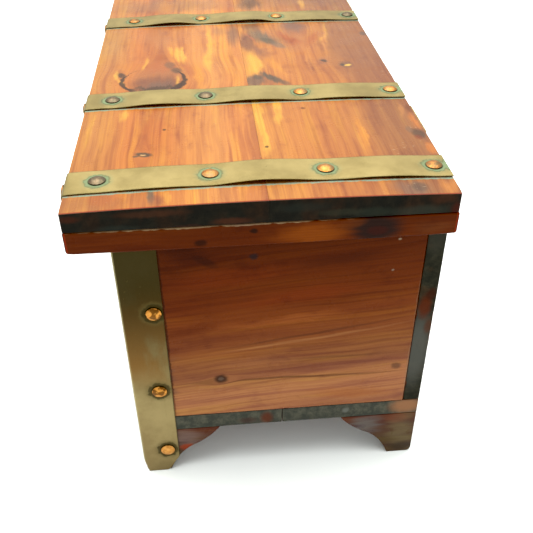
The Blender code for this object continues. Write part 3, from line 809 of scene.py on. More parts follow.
def make_end_panels():
    """The end that shows most, with glue at its back edge and a painted shadow beside its strap."""
    glue_y = highest("right_end_panel").y / MM - 0.6
    strap_shadow_y = (FRONT_Y + CORNER_FLANGE) / MM - 0.4
    edge_marks = [
        (glue_y, 140, 0.5, 22, 0, (150, 132, 104), 0.25),
        (glue_y, 84, 0.6, 26, 0, (170, 148, 116), 0.35),
        # A painted shadow along the corner strap's free edge.
        (strap_shadow_y, 130, 0.8, 90, 0, (64, 32, 16), 0.6),
    ]
    right = cedar(
        "cedar_end", Y, Z, END_STRIPES_AND_SHADE, END_MARKS + edge_marks, [(-28.5, 86.5, 3.5, 9)],
        seed=5.0, ring=4.6, lines=0.42, slope=0.08,
    )
    left = cedar("cedar_far_end", Y, Z, WALL_STRIPES, WALL_MARKS, [(30, 120, 6, 12)], seed=15.0, ring=5.0)
    for node, material in (("right_end_panel", right), ("left_end_panel", left)):
        add_board(node, "chest", "wall_cedar", material, 0.5 * MM, 4 * MM, 0.08 * MM)


def make_walls():
    """The long walls; the back one's end grain shows at the corner, chipped along its edges."""
    front = cedar(
        "cedar_front", X, Z, WALL_STRIPES, WALL_MARKS, [(-118, 148, 6, 16), (96, 172, 4, 12)],
        ends=(0, END_X / MM, (52, 50, 44), 0.6), seed=21.0,
    )
    mirrored = [(-along, *rest) for along, *rest in WALL_MARKS]
    back = cedar(
        "cedar_back", X, Z, WALL_STRIPES, mirrored, [(118, 148, 6, 16)],
        ends=(0, END_X / MM, (48, 48, 40), 0.5), end_marks=BACK_END_MARKS, seed=27.0,
    )
    for node, material, nick in (("front_panel", front, 0.35 * MM), ("back_panel", back, 1.0 * MM)):
        add_board(node, "chest", "wall_cedar", material, 0.7 * MM, 3 * MM, 0.1 * MM, nick)


def make_bottom():
    """The two bottom boards, whose grey end grain shows under the end panels."""
    wood = cedar(
        "cedar_base", X, Y, BASE_STRIPES, BASE_MARKS,
        ends=(0, END_X / MM, (78, 80, 72), 0.0), end_marks=BASE_END_MARKS, seed=33.0,
    )
    for node in ("front_bottom_board", "back_bottom_board"):
        add_board(node, "chest", "base_cedar", wood, 0.6 * MM, 5 * MM, 0.08 * MM)


CLEAT_CORNER, CLEAT_BOW = 2.5 * MM, 0.3 * MM
CLEAT_EASE = 6 * MM  # how far up from the cleat's lower edge its shape changes


def ease_cleat(points):
    """Rounds a cleat's lower corners and bows its lower edge up towards them."""
    x, y, z = points.T
    from_end = np.minimum(y - LID_FRONT_Y, LID_BACK_Y - y)
    reach = np.clip(CLEAT_CORNER - from_end, 0, CLEAT_CORNER)
    lift = CLEAT_CORNER - np.sqrt(CLEAT_CORNER**2 - reach**2)
    bow = CLEAT_BOW * ((y - LID_MIDDLE_Y) / LID_HALF_DEPTH) ** 2
    share = np.clip(1 - (z - lowest("right_lid_cleat").z) / CLEAT_EASE, 0, 1)
    return np.stack([x, y, z + (lift + bow) * share], axis=1)


def make_cleats():
    """The battens under the lid's ends."""
    wood = cedar(
        "cedar_cleat", Y, Z, CLEAT_STRIPES, CLEAT_MARKS,
        ends=(LID_MIDDLE_Y / MM, LID_HALF_DEPTH / MM, (58, 30, 20), 0.3), seed=39.0, ring=3.0, drift=12.0,
    )
    for side in SIDES:
        add_board(f"{side}_lid_cleat", "lid", "cleat_cedar", wood, 0.9 * MM, 3 * MM, shape=ease_cleat)


# ---- Bracket feet --------------------------------------------------------------------
FOOT_TOE, FOOT_REACH = 17.5 * MM, 53.5 * MM
FOOT_CORNER = 3.5 * MM
TOE_TAPER, TAPER_SIZE = 1.6 * MM, 14 * MM  # the front corner draws in towards the floor
FOOT_STRIPES = [(0, (112, 88, 56)), (18, (106, 80, 54)), (30, (112, 74, 54)), (41, (120, 70, 48))]
# The pale grey patches at (-56, 31) and (70, 32) are painted sheen on the brackets.
FOOT_MARKS_AND_SHEEN = [
    (-56, 31, 17, 10, 0, (156, 134, 122), 0.6),
    (-66, 26, 12, 2.5, 0, (72, 46, 36), 0.5),
    (-74, 12, 10, 8, 0, (140, 118, 76), 0.6),
    (70, 32, 14, 10, 0, (128, 122, 114), 0.8),
    (96, 24, 12, 24, 0, (134, 116, 80), 0.7),
    (92, 36, 9, 5, 0, (150, 92, 62), 0.5),
    (98, 6, 10, 5, 0, (66, 54, 36), 0.6),
    (-55, 22, 6, 3.5, 0, (186, 78, 40), 0.85),
]


def bezier(start, control, end, steps):
    """Points after the start along a curve that bends towards its control point."""
    ts = np.linspace(0, 1, steps + 1)[1:]
    start, control, end = (np.array(p) for p in (start, control, end))
    return [tuple((1 - t) ** 2 * start + 2 * t * (1 - t) * control + t**2 * end) for t in ts]


def foot_outline(start):
    """(distance in from the corner, height) round a bracket that starts that far in."""
    toe = [(start, 0.0)]
    if start == 0:
        angles = np.radians(np.linspace(180, 270, 7))
        toe = [(FOOT_CORNER * (1 + math.cos(a)), FOOT_CORNER * (1 + math.sin(a))) for a in angles]
    heel, knee = (FOOT_TOE, 0.0), (FOOT_TOE + 17 * MM, 23.5 * MM)
    rise = bezier(heel, (FOOT_TOE + 6 * MM, 17 * MM), knee, 12)
    sweep = bezier(knee, (FOOT_REACH - 7.5 * MM, 29.5 * MM), (FOOT_REACH, FOOT_TOP), 10)
    return toe + [heel] + rise + sweep + [(start, FOOT_TOP)]


def draw_in(points):
    """Tapers the front of the chest's foot, and the strap on it, towards the floor."""
    x, y, z = points.T
    low = smooth(1 - z / TAPER_SIZE) * TOE_TAPER
    near = np.clip(1 - (y - FRONT_Y) / TAPER_SIZE, 0, 1)
    return np.stack([x, y + low * near, z], axis=1)


def bracket_mesh(name, outline, along, radius=0.6 * MM):
    """An outline pulled out along a vector, with rounded arrises."""
    bm = bmesh.new()
    face = bm.faces.new([bm.verts.new(p) for p in outline])
    grown = bmesh.ops.extrude_face_region(bm, geom=[face])
    moved = [part for part in grown["geom"] if isinstance(part, bmesh.types.BMVert)]
    bmesh.ops.translate(bm, verts=moved, vec=along)
    bmesh.ops.recalc_face_normals(bm, faces=bm.faces)
    rim = [e for e in bm.edges if e.is_manifold and e.calc_face_angle() > math.radians(35)]
    bmesh.ops.bevel(bm, geom=rim, offset=radius, segments=3, profile=0.5, affect="EDGES")
    for vertex in bm.verts:
        vertex.co = draw_in(np.array([vertex.co]))[0]
    mesh = bpy.data.meshes.new(name)
    bm.to_mesh(mesh)
    bm.free()
    mesh.shade_smooth()
    mesh.set_sharp_from_angle(angle=math.radians(32))
    return mesh


def make_feet():
    """An end bracket and a side bracket at each corner; the end one covers the side one's edge."""
    side_marks = [(180, 12, 14, 9, 0, (96, 74, 44), 0.6)]
    end_wood = cedar("cedar_foot_end", Y, Z, FOOT_STRIPES, FOOT_MARKS_AND_SHEEN, seed=45.0, ring=7.0)
    side_wood = cedar("cedar_foot_side", X, Z, FOOT_STRIPES, side_marks, seed=49.0, ring=7.0)
    for side, sign in SIDES.items():
        for face, face_y, inward in (("front", FRONT_Y, 1), ("back", BACK_Y, -1)):
            on_end = [(sign * END_X, face_y + inward * a, h) for a, h in foot_outline(0)]
            on_side = [(sign * (END_X - a), face_y, h) for a, h in foot_outline(WALL + 0.3 * MM)]
            for kind, outline, along, wood in (
                ("end", on_end, (-sign * WALL, 0, 0), end_wood),
                ("side", on_side, (0, inward * WALL, 0), side_wood),
            ):
                node = f"{side}_{face}_foot_{kind}_bracket"
                mesh = bracket_mesh(node + "_cedar", outline, along)
                add_piece(node + "_cedar", mesh, "chest", "base_cedar", wood, node)


# ---- Brass ---------------------------------------------------------------------------
SHEET = 0.6 * MM
STRAP_GAP, LIP_GAP = 0.34 * MM, 0.3 * MM  # under a strap that lies on the lid or its edge
LIP_FOOT = lowest("lid_strap_1").z
FOLD_RADIUS = 1.3 * MM
STRAP_TRIM, STRAP_DENT = 0.25 * MM, 0.10 * MM
# How far each strap stands off the lid between its nails, from its front to its back, mm.
STRAP_LIFTS = {
    1: (0.3, 1.2, 1.8, 0.8, 0.1),
    2: (0.2, 1.6, 1.8, 0.7, 0.1),
    3: (0.3, 1.2, 1.2, 0.8, 0.1),
    4: (0.2, 0.5, 1.6, 0.8, 0.1),
}
# Where the top of each bend is between its two nails, from the front one to the back one.
STRAP_LEANS = {1: (0.45, 0.55, 0.4), 2: (0.6, 0.70, 0.5), 3: (0.48, 0.52, 0.47), 4: (0.5, 0.45, 0.6)}

# Round a nail: the faint halo, the crust beside the head and the line at the crust's edge.
# Round a corner nail the three rings are dark instead, partly dirt and partly painted shadow.
VERDIGRIS = ((128, 130, 92), (114, 136, 106), (76, 88, 62))
GRIME_AND_SHADOW = ((88, 76, 44), (66, 56, 32), (48, 44, 26))
# The third of these is a painted shade along a strap's edges.
SCRATCHED, SPECK, PAINTED_EDGE_SHADE, HEAD_SHADOW = (0.78, 0.76, 0.66), (96, 84, 52), (58, 58, 36), (36, 38, 26)
CRUST_RADIUS, HALO_RADIUS = 7.0, 10.5


def brass(
    name, plane, nails, tones, seed, length_axis=Y, rings=VERDIGRIS, width=None, stained_end=None,
    painted_top_shade=None, rust=None, edge_light_and_shade=(),
):
    """Old strap brass: dull, scratched along its length, and stained round its nails.

    Distances are in mm. plane is the pair of axes its face lies along; nails and
    stained_end are places on it, and rings the colours of the stain round each of them,
    or round a corner nail the dark rings of dirt and painted shadow. tones are its two
    colours. width is (middle, half width) along X, for a painted shade along the edges.
    painted_top_shade is (height where it starts, height where it is full, colour) of a painted
    shade towards the top. rust is (height, colour) of a rusty stretch. edge_light_and_shade are
    (distance from the corner's fold, strength, colour) of painted highlight and shade.
    """
    s = Surface(name, Metallic=1.0)
    flat = s.combine(s.xyz[plane[0]], s.xyz[plane[1]])
    scale = [0.9, 0.9, 0.9]
    scale[length_axis] = 0.03
    scratch = s.noise(s.place, scale, seed, 5.0, 0.7)
    cloud = s.noise(s.place, 0.035, seed + 7, 4.0, 0.6)
    speck = s.noise(s.place, 0.5, seed + 13, 3.0, 0.6)
    colour = s.mix(s.span(cloud, 0.32, 0.68), *tones)
    if rust:
        height, paint = rust
        rusty = s.noise(s.place, (0.05, 0.05, 0.018), seed + 17, 4.0, 0.6)
        share = s.span(rusty, 0.36, 0.58, 0.0, 0.75) * s.span(abs(s.xyz[Z] - height), 48.0, 20.0)
        colour = s.mix(share, colour, paint)
    # A painted shade that darkens the sheet towards its top, where the lid's overhang shades it and it
    # mirrors a dark room.
    if painted_top_shade:
        start, end, paint = painted_top_shade
        colour = s.mix(s.span(s.xyz[Z], start, end, 0.0, 0.92), colour, paint)
    colour = s.tint(s.span(scratch, 0.55, 0.8, 0.0, 0.5), colour, *SCRATCHED)
    colour = s.mix(s.span(speck, 0.68, 0.8, 0.0, 0.6), colour, SPECK)
    # A painted shade along the strap's two edges.
    if width:
        middle, half = width
        from_middle = abs(s.xyz[X] - middle) + speck * 0.35
        colour = s.mix(s.span(from_middle, half - 0.6, half - 0.1, 0.0, 0.5), colour, PAINTED_EDGE_SHADE)
    from_fold = (END_X / MM - abs(s.xyz[X])).math("MAXIMUM", s.xyz[Y] - FRONT_Y / MM)
    # Painted highlight and shade along the sheet's fold and edges.
    for edge, strength, paint in edge_light_and_shade:
        from_edge = abs(from_fold - edge) + speck * 0.5
        colour = s.mix(s.span(from_edge, 0.9, 0.35, 0.0, strength), colour, paint)

    near_nail = nearest(s, flat, nails)
    near_stain = nearest(s, flat, [*nails, stained_end]) if stained_end else near_nail
    waver = (s.noise(flat, (0.32, 0.32, 0), seed + 19, 4.0, 0.65) - 0.5) * 5.0
    ragged = near_stain + waver
    halo, crust, line = rings
    crusted = s.span(ragged, CRUST_RADIUS + 0.3, CRUST_RADIUS - 0.7)
    colour = s.mix(s.span(ragged, HALO_RADIUS, CRUST_RADIUS, 0.0, 0.45), colour, halo)
    colour = s.mix(crusted * 0.7, colour, crust)
    colour = s.mix(s.span(abs(ragged - CRUST_RADIUS), 0.8, 0.1, 0.0, 0.55), colour, line)
    head = HEAD_RADIUS / MM
    colour = s.mix(s.span(near_nail, head + 0.65, head + 0.15, 0.0, 0.6), colour, HEAD_SHADOW)
    roughness = s.span(cloud, 0.3, 0.7, 0.44, 0.55) + crusted * 0.25
    return s.finish(colour, roughness, scratch + cloud * 2.5, 0.05 * MM)


def nearest(s, flat, places):
    """The distance to the nearest of some places on a plane."""
    near, *others = [s.distance(flat, *place) for place in places]
    for other in others:
        near = near.math("MINIMUM", other)
    return near


def strap_path(x, lifts, leans, nail_ys):
    """(point, outward normal) down the lip's length, over the fold and to the lid's back."""
    front = LID_FRONT_Y - LIP_GAP
    top = lid_top_at(x, front)
    stations = []
    for z in np.linspace(LIP_FOOT, top - FOLD_RADIUS, 8)[:-1]:
        stations.append((Vector((x, front, z)), Vector((0, -1, 0))))
    middle = Vector((x, front + FOLD_RADIUS, top + LIP_GAP - FOLD_RADIUS))
    for angle in np.radians(np.linspace(180, 90, 7)):
        out = Vector((0, math.cos(angle), math.sin(angle)))
        stations.append((middle + out * FOLD_RADIUS, out))
    start = front + FOLD_RADIUS
    holds = [start, *nail_ys, LID_BACK_Y]
    count = int((LID_BACK_Y - start) / (1.5 * MM))
    for y in np.linspace(start, LID_BACK_Y, count)[1:]:
        bay = min(np.searchsorted(holds, y, side="right"), len(holds) - 1) - 1
        share = (y - holds[bay]) / (holds[bay + 1] - holds[bay])
        if bay == 0:
            lift = lifts[0] * share * (1 - smooth((share - 0.6) / 0.4))
        elif bay == len(holds) - 2:
            lift = lifts[-1] * smooth(share)
        else:
            lean = leans[bay - 1]
            turn = share / (2 * lean) if share < lean else 1 - (1 - share) / (2 * (1 - lean))
            lift = lifts[bay] * math.sin(math.pi * turn) ** 1.6
        z = lid_top_at(x, y) + STRAP_GAP + lift * MM
        stations.append((Vector((x, y, z)), Vector((0, 0, 1))))
    return stations


def sheet_ring(width, thickness, columns=9):
    """(across, height) round the section of a sheet with softened edges."""
    half, soft = width / 2, 0.15 * MM
    flat_half = half - soft - 0.12 * MM
    acrosses = [-half + soft, *np.linspace(-flat_half, flat_half, columns), half - soft]
    bevel = half - soft * 0.2
    side = [(bevel, soft * 0.4), (half, thickness / 2), (bevel, thickness - soft * 0.4)]
    ring = [(a, 0.0) for a in acrosses] + side
    ring += [(a, thickness) for a in reversed(acrosses)]
    return ring + [(-across, height) for across, height in reversed(side)]


def strap_section(number, x, point, out, trim):
    """A strap's section at a station: hand-trimmed, and tilted and dented where it is raised."""
    ceiling = CAD_BOX[1].z - 0.05 * MM
    ring = []
    for across, height in sheet_ring(STRAP_WIDTH - 0.5 * MM, SHEET):
        side = trim if across > 0 else -trim * 0.6
        tilt = 0.0
        if out.z > 0.9:
            top = lid_top_at(x, point.y)
            raised = point.z - top - STRAP_GAP
            dent = noise.noise(Vector((point.y * 90, across * 110, number * 5.1)))
            tilt = 0.22 * raised * across / (STRAP_WIDTH / 2)
            tilt += STRAP_DENT * dent * smooth(raised / (0.5 * MM))
            tilt += lid_top_at(x + across, point.y) - top
        place = point + Vector((across + side, 0, 0)) + out * (height + tilt)
        place.z = min(place.z, ceiling - (SHEET - height))
        place.y = max(place.y, LID_FRONT_Y - 1.1 * MM)
        ring.append(place)
    return ring


def make_lid_straps():
    """Four straps over the lid, each standing off it a little between its nails."""
    for number in STRAPS:
        node = f"lid_strap_{number}"
        x = centre(node).x
        nails = [centre(f"lid_nail_{number}_{row}") for row in (1, 2, 3, 4)]
        stations = strap_path(x, STRAP_LIFTS[number], STRAP_LEANS[number], [nail.y for nail in nails])
        rings = []
        for step, (point, out) in enumerate(stations):
            trim = STRAP_TRIM * noise.noise(Vector((step * 0.11, number * 3.7, 0)))
            rings.append(strap_section(number, x, point, out, trim))
        material = brass(
            f"brass_lid_strap_{number}", (X, Y), [(nail.x / MM, nail.y / MM) for nail in nails],
            ((140, 124, 76), (154, 138, 90)), seed=number * 2.3,
            width=(x / MM, STRAP_WIDTH / MM / 2 - 0.25), stained_end=(x / MM, LID_BACK_Y / MM + 4),
        )
        mesh = loft_mesh(node + "_brass", rings, 50)
        add_piece(node + "_brass", mesh, "lid", "strap_brass", material, node)


CORNER_FLANGE = 25 * MM
CLIP_ACROSS, CLIP_UP = 8.5 * MM, 14.5 * MM  # what is cut off each side of the strap's foot
CLIP_CORNER, CORNER_TOE = 1.5 * MM, 3.0 * MM
CORNER_FOLD, CORNER_GAP = 1.4 * MM, 0.3 * MM


def corner_section(z, foot, sign):
    """The folded sheet's section at a height: its outside from end to front, then its inside."""
    clip = CLIP_ACROSS * max(0.0, 1 - (z - foot) / (CLIP_UP - foot))
    if z < foot + CLIP_CORNER:
        clip += CLIP_CORNER - math.sqrt(max(CLIP_CORNER**2 - (foot + CLIP_CORNER - z) ** 2, 0))
    straight = CORNER_FLANGE - clip - CORNER_FOLD
    outside = CORNER_GAP + SHEET
    outer, inner = [], []
    for t in np.linspace(1, 0, 9):
        across = CORNER_FOLD - outside + t * straight
        outer.append((outside, across))
        inner.append((CORNER_GAP, across))
    for angle in np.radians(np.linspace(0, 90, 7))[1:-1]:
        for ring, radius in ((outer, CORNER_FOLD), (inner, CORNER_FOLD - SHEET)):
            out = outside - CORNER_FOLD + radius * math.cos(angle)
            ring.append((out, CORNER_FOLD - outside - radius * math.sin(angle)))
    for t in np.linspace(0, 1, 9):
        out = outside - CORNER_FOLD - t * straight
        outer.append((out, -outside))
        inner.append((out, -CORNER_GAP))

    drop = 0.0 if z > CORNER_TOE else CORNER_TOE - math.sqrt(CORNER_TOE**2 - (CORNER_TOE - z) ** 2)
    wave = 0.12 * MM * noise.noise(Vector((z * 28, sign * 4.0, 1.5)))
    section = []
    for out, across in outer + inner[::-1]:
        bulge = wave if out > -2 * MM and across > 2 * MM else 0.0
        x = END_X + out - 0.25 * MM * smooth(-bulge / (0.1 * MM))
        section.append((sign * x, FRONT_Y + across + (drop * 0.6 if across < 0 else 0), z))
    return draw_in(np.array(section))


def make_corner_straps():
    """One folded sheet down each front corner, clipped at its foot."""
    foot, top = lowest("right_corner_strap").z, highest("right_corner_strap").z
    levels = sorted({
        *np.linspace(foot, foot + 1.2 * MM, 4), *np.linspace(foot + 1.2 * MM, CLIP_UP, 10),
        *np.linspace(CLIP_UP, CLIP_UP + 1.5 * MM, 4), *np.linspace(CLIP_UP + 1.5 * MM, top, 60),
    })
    # A painted highlight along the fold, and a painted shade along the flange's free edge.
    fold_highlight = (-0.3, 0.45, (168, 156, 112))
    flange_edge_shade = (CORNER_FLANGE / MM - 0.9, 0.8, (50, 42, 24))
    for side, sign in SIDES.items():
        nails = [centre(f"corner_nail_{side}_end_{row}") for row in (1, 2, 3)]
        material = brass(
            f"brass_{side}_corner", (Y, Z), [(nail.y / MM, nail.z / MM) for nail in nails],
            ((122, 104, 68), (146, 129, 88)), seed=31 + sign, length_axis=Z, rings=GRIME_AND_SHADOW,
            painted_top_shade=(50, 168, (35, 29, 12)), rust=(126.0, (130, 88, 40)), edge_light_and_shade=(fold_highlight, flange_edge_shade),
        )
        node = f"{side}_corner_strap"
        mesh = loft_mesh(node + "_brass", [corner_section(z, foot, sign) for z in levels], 50)
        add_piece(node + "_brass", mesh, "chest", "strap_brass", material, node)


# ---- Nails ---------------------------------------------------------------------------
HEAD_RADIUS, HEAD_HEIGHT = 4.75 * MM, 2.0 * MM
HEAD_RIM = 0.45 * MM  # the head's straight side, below its dome
SHANK = [(0, -8.5 * MM), (0.8 * MM, -6.5 * MM), (0.9 * MM, -0.15 * MM)]


def copper(name, tones, tarnish, seed, dark_reflection=0.0):
    """Worn copper; tones are its two main colours and its tarnish, and the last argument is how strongly a
    painted reflection of a dark room darkens the dome's middle.
    """
    s = Surface(name, Metallic=1.0)
    hammered = s.noise(s.place, 0.55, seed, 3.0, 0.6)
    stain = s.noise(s.place, 0.22, seed + 5, 4.0, 0.65)
    from_middle, edge = s.length(s.combine(s.xyz[X], s.xyz[Y])), HEAD_RADIUS / MM
    colour = s.mix(s.span(hammered, 0.35, 0.65), tones[0], tones[1])
    stained = s.span(stain, 0.62 - tarnish * 0.4, 0.95 - tarnish * 0.4, 0.0, 0.9)
    colour = s.mix(stained, colour, tones[2])
    # A dark ring at the head's edge, partly dirt and partly painted shade.
    colour = s.mix(s.span(from_middle, edge - 0.13, edge + 0.01, 0.0, 0.5), colour, (70, 46, 26))
    # A dark blot on the dome's middle: a painted reflection of a dark room.
    if dark_reflection:
        reflection_blot = s.noise(s.place, 0.24, seed + 9, 3.0, 0.55) - from_middle * 0.045
        colour = s.mix(s.span(reflection_blot, 0.33, 0.43, 0.0, dark_reflection), colour, (82, 48, 18))
    return s.finish(colour, s.span(stain, 0.3, 0.8, 0.48, 0.66), hammered, 0.14 * MM)


def nail_mesh(name, seed):
    """A domed head with a thin rim, dented by the hammer, on a short pointed shank."""
    profile = [*SHANK, (HEAD_RADIUS - 0.35 * MM, SHANK[-1][1])]
    profile += [(HEAD_RADIUS - 0.1 * MM, 0), (HEAD_RADIUS, HEAD_RIM / 2)]
    top = dome(HEAD_RADIUS, HEAD_HEIGHT - HEAD_RIM, 9)
    profile += [(radius, HEAD_RIM + height) for radius, height in top]
    points, faces = turned_points(profile, 28)
    for point in points:
        if point[2] > 0.2 * MM:
            dent = noise.noise(Vector((point[0] * 420, point[1] * 420, seed * 2.9)))
            point[2] -= 0.12 * MM * max(0.0, dent + 0.35)
        if point[2] > -0.1 * MM:
            turn = math.atan2(point[1], point[0])
            point[:2] *= 1 - 0.025 * (1 + math.sin(2 * turn + seed)) / 2
    return mesh_from(name, points, faces, 50)


def facing(axis, place, turn):
    """The matrix that turns +Z to an axis, after a turn about Z, and moves it to a place."""
    lean = Vector((0, 0, 1)).rotation_difference(Vector(axis)).to_matrix().to_4x4()
    return Matrix.Translation(place) @ lean @ Matrix.Rotation(turn, 4, "Z")


def nail_seat(node):
    """(where a nail's head sits, the way it faces)."""
    low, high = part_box(node)
    middle = centre(node)
    if "lid_nail" in node:
        return Vector((middle.x, middle.y, high.z - HEAD_HEIGHT)), (0, 0, 1)
    if "front" in node or "lip" in node:
        return Vector((middle.x, low.y + HEAD_HEIGHT, middle.z)), (0, -1, 0)
    if middle.x > 0:
        return Vector((high.x - HEAD_HEIGHT, middle.y, middle.z)), (1, 0, 0)
    return Vector((low.x + HEAD_HEIGHT, middle.y, middle.z)), (-1, 0, 0)


def nail_coppers():
    """The two usual coppers, and those of the nails that look different."""
    bright = copper("copper_bright", ((158, 104, 50), (176, 124, 66), (130, 114, 84)), 0.6, 2.0)
    warm = copper("copper_warm", ((146, 96, 50), (170, 118, 66), (102, 92, 66)), 0.6, 6.0)
    grey = copper("copper_tarnished", ((98, 82, 62), (114, 99, 77), (88, 84, 66)), 0.75, 9.0)
    # Two corner nails carry a painted reflection of a dark room on their domes.
    dark_mirroring = copper("copper_dark_reflection", ((186, 122, 50), (206, 146, 70), (150, 96, 44)), 0.3, 12.0, dark_reflection=0.85)
    golden = copper("copper_golden", ((190, 130, 62), (208, 152, 82), (158, 108, 56)), 0.4, 15.0)
    return bright, warm, {
        "lid_nail_4_1": grey, "lid_nail_3_1": grey, "lid_nail_3_2": grey, "lid_nail_2_4": grey,
        "lid_nail_2_1": warm, "lid_nail_4_4": warm, "lid_nail_4_3": bright,
        "corner_nail_right_end_1": dark_mirroring, "corner_nail_right_end_2": dark_mirroring,
        "corner_nail_right_end_3": golden,
    }


def make_nails():
    """A nail for each one of the CAD, and the inner straps' lip nails, which it lacks."""
    bright, warm, special = nail_coppers()
    nails = [(node, *nail_seat(node), (node,)) for node in sorted(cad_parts) if "_nail_" in node]
    lip, facing_front = nail_seat("lid_lip_nail_1")
    for number in (2, 3):
        seat = Vector((centre(f"lid_strap_{number}").x, lip.y, lip.z))
        nails.append((f"lid_lip_nail_{number}", seat, facing_front, ()))
    for count, (label, seat, axis, nodes) in enumerate(nails):
        name = label + "_copper"
        body = "lid" if label.startswith("lid") else "chest"
        material = special.get(label, warm if count % 5 == 3 else bright)
        piece = add_piece(name, nail_mesh(name, count), body, "nail_copper", material, *nodes)
        piece.matrix_world = facing(axis, seat, count * 1.7)
        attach(piece, body)


# ---- Hinges --------------------------------------------------------------------------
KNUCKLE_RADIUS = 2.1 * MM
SCREW_RADIUS, SCREW_RISE = 1.9 * MM, 0.55 * MM
SCREW_SHANK = [(0, -7 * MM), (0.5 * MM, -5 * MM), (0.95 * MM, -1.0 * MM), (0.95 * MM, 0)]
SCREW_SLOT = (5 * MM, 0.45 * MM, 0.8 * MM)


def plain_metal(name, tones, seed):
    """Hinge brass, clouded and scratched across its length."""
    s = Surface(name, Metallic=1.0)
    cloud = s.noise(s.place, 0.12, seed, 4.0, 0.6)
    scratch = s.noise(s.place, (0.06, 1.2, 1.2), seed + 3, 4.0, 0.7)
    colour = s.mix(s.span(cloud, 0.35, 0.7), *tones)
    colour = s.tint(s.span(scratch, 0.55, 0.8, 0.0, 0.5), colour, 0.7, 0.66, 0.56)
    return s.finish(colour, s.span(cloud, 0.3, 0.75, 0.3, 0.5), scratch, 0.03 * MM)


def give_material(node, material):
    """Gives a CAD node that stays as it is a better material."""
    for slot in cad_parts[node].material_slots:
        slot.material = material


def make_hinges():
    """The CAD's leaves and pins in brass, and two screws in each leaf."""
    leaf_brass = plain_metal("brass_hinge", ((150, 122, 66), (176, 146, 84)), 3.0)
    pin_brass = plain_metal("brass_pin", ((120, 104, 70), (150, 130, 90)), 5.0)
    screw_brass = plain_metal("brass_screw", ((164, 134, 74), (190, 160, 96)), 7.0)
    for side in SIDES:
        pin = f"{side}_hinge_pin"
        give_material(pin, pin_brass)
        for half, body, up in (("lower", "chest", -1), ("upper", "lid", 1)):
            leaf = f"{side}_hinge_{half}_leaf"
            give_material(leaf, leaf_brass)
            low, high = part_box(leaf)
            plate_start = centre(pin).z + up * (KNUCKLE_RADIUS + 0.4 * MM)
            plate_end = high.z if up > 0 else low.z
            third = (high.x - low.x) / 3
            for number, x in enumerate((low.x + high.x) / 2 + third * np.array((-1, 1)), start=1):
                seat = Vector((x, low.y + 0.95 * MM, (plate_start + plate_end) / 2))
                name = f"{side}_hinge_{half}_screw_{number}"
                make_screw(name, seat, body, screw_brass, number * 37 + up * 11)


def make_screw(name, seat, body, material, turn):
    """A round head with its slot at that turn in degrees, and its shank in the wood."""
    profile = [*SCREW_SHANK, (SCREW_RADIUS - 0.1 * MM, 0), *dome(SCREW_RADIUS, SCREW_RISE, 5)]
    points, faces = turned_points(profile, 24)
    piece = add_piece(name, mesh_from(name, points, faces, 40), body, "hinge_brass", material)
    box = bmesh.new()
    place = Matrix.Translation((0, 0, SCREW_RISE)) @ Matrix.Diagonal((*SCREW_SLOT, 1))
    bmesh.ops.create_cube(box, size=1, matrix=place)
    cutter = link(name + "_slot", bpy.data.meshes.new(name + "_slot"))
    box.to_mesh(cutter.data)
    box.free()
    piece.matrix_world = cutter.matrix_world = facing((0, 1, 0), seat, math.radians(turn))
    bpy.context.view_layer.update()
    cut = piece.modifiers.new("slot", "BOOLEAN")
    cut.operation = "DIFFERENCE"
    cut.object = cutter
    evaluated = piece.evaluated_get(bpy.context.evaluated_depsgraph_get())
    cut_mesh = bpy.data.meshes.new_from_object(evaluated)
    piece.modifiers.clear()
    piece.data = cut_mesh
    bpy.data.objects.remove(cutter)
    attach(piece, body)


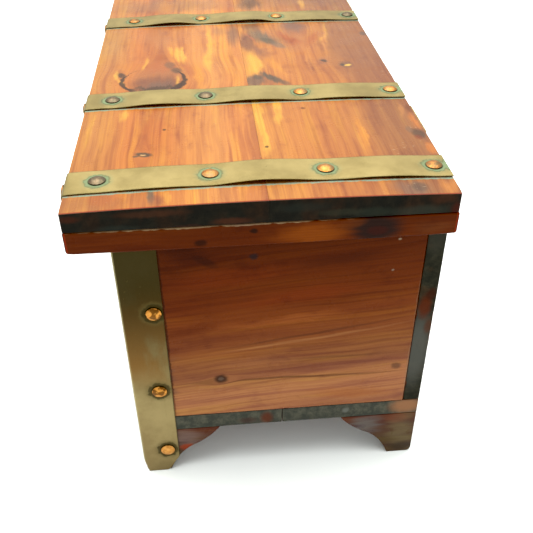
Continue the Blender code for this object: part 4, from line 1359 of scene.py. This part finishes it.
# ---- Floor, light and camera ---------------------------------------------------------
FLOOR_HALF = 6.0
SOFTBOX_PLACE, SOFTBOX_SIZE, SOFTBOX_POWER = (-0.1, -0.05, 1.5), 1.5, 50
ROOM_STRENGTH = 0.95
BLACK_POINT = 0.007  # a camera's contrast: what is this dark goes black
CAMERA_PLACE = (0.53893, -0.02808, 0.42048)
CAMERA_TURNS = ((84.943, "Z"), (53.435, "X"), (-0.312, "Z"))  # degrees, in this order
LENS, SENSOR = 48.591, 36  # mm


def make_stage():
    """A plain pale floor."""
    s = Surface("pale_floor")
    grain = s.noise(s.place, 0.02, 1.0)
    colour = s.mix(grain, (0.88, 0.93, 0.90, 1), (0.895, 0.945, 0.915, 1))
    corners = [(x * FLOOR_HALF, y * FLOOR_HALF, 0) for x, y in ((-1, -1), (1, -1), (1, 1), (-1, 1))]
    mesh = bpy.data.meshes.new("floor")
    mesh.from_pydata(corners, [], [(0, 1, 2, 3)])
    mesh.materials.append(s.finish(colour, s.span(grain, 0.3, 0.7, 0.55, 0.65), grain, 0.01 * MM))
    link("floor", mesh)


def make_light():
    """A white room, and a square softbox that faces down over the chest."""
    world = bpy.data.worlds.new("soft_white_room")
    world.use_nodes = True
    background = world.node_tree.nodes["Background"]
    background.inputs["Color"].default_value = (1.0, 1.0, 1.0, 1.0)
    background.inputs["Strength"].default_value = ROOM_STRENGTH
    bpy.context.scene.world = world
    lamp = bpy.data.lights.new("overhead_softbox", "AREA")
    lamp.shape = "SQUARE"
    lamp.size = SOFTBOX_SIZE
    lamp.energy = SOFTBOX_POWER
    light = link("overhead_softbox", lamp)
    light.location = SOFTBOX_PLACE
    light.rotation_euler = (-light.location).to_track_quat("-Z", "Y").to_euler()
    settings = bpy.context.scene.view_settings
    settings.view_transform = "Standard"
    settings.use_curve_mapping = True
    settings.curve_mapping.black_level = (BLACK_POINT,) * 3
    settings.curve_mapping.update()


def make_camera():
    """The viewpoint: over the right end, looking along the chest and down."""
    data = bpy.data.cameras.new("camera")
    data.lens = LENS
    data.sensor_width = SENSOR
    camera = link("camera", data)
    view = Matrix.Translation(CAMERA_PLACE)
    for angle, axis in CAMERA_TURNS:
        view = view @ Matrix.Rotation(math.radians(angle), 4, axis)
    camera.matrix_world = view
    bpy.context.scene.camera = camera


make_lid_boards()
make_end_panels()
make_walls()
make_bottom()
make_cleats()
make_feet()
make_lid_straps()
make_corner_straps()
make_nails()
make_hinges()
make_stage()
make_light()
make_camera()
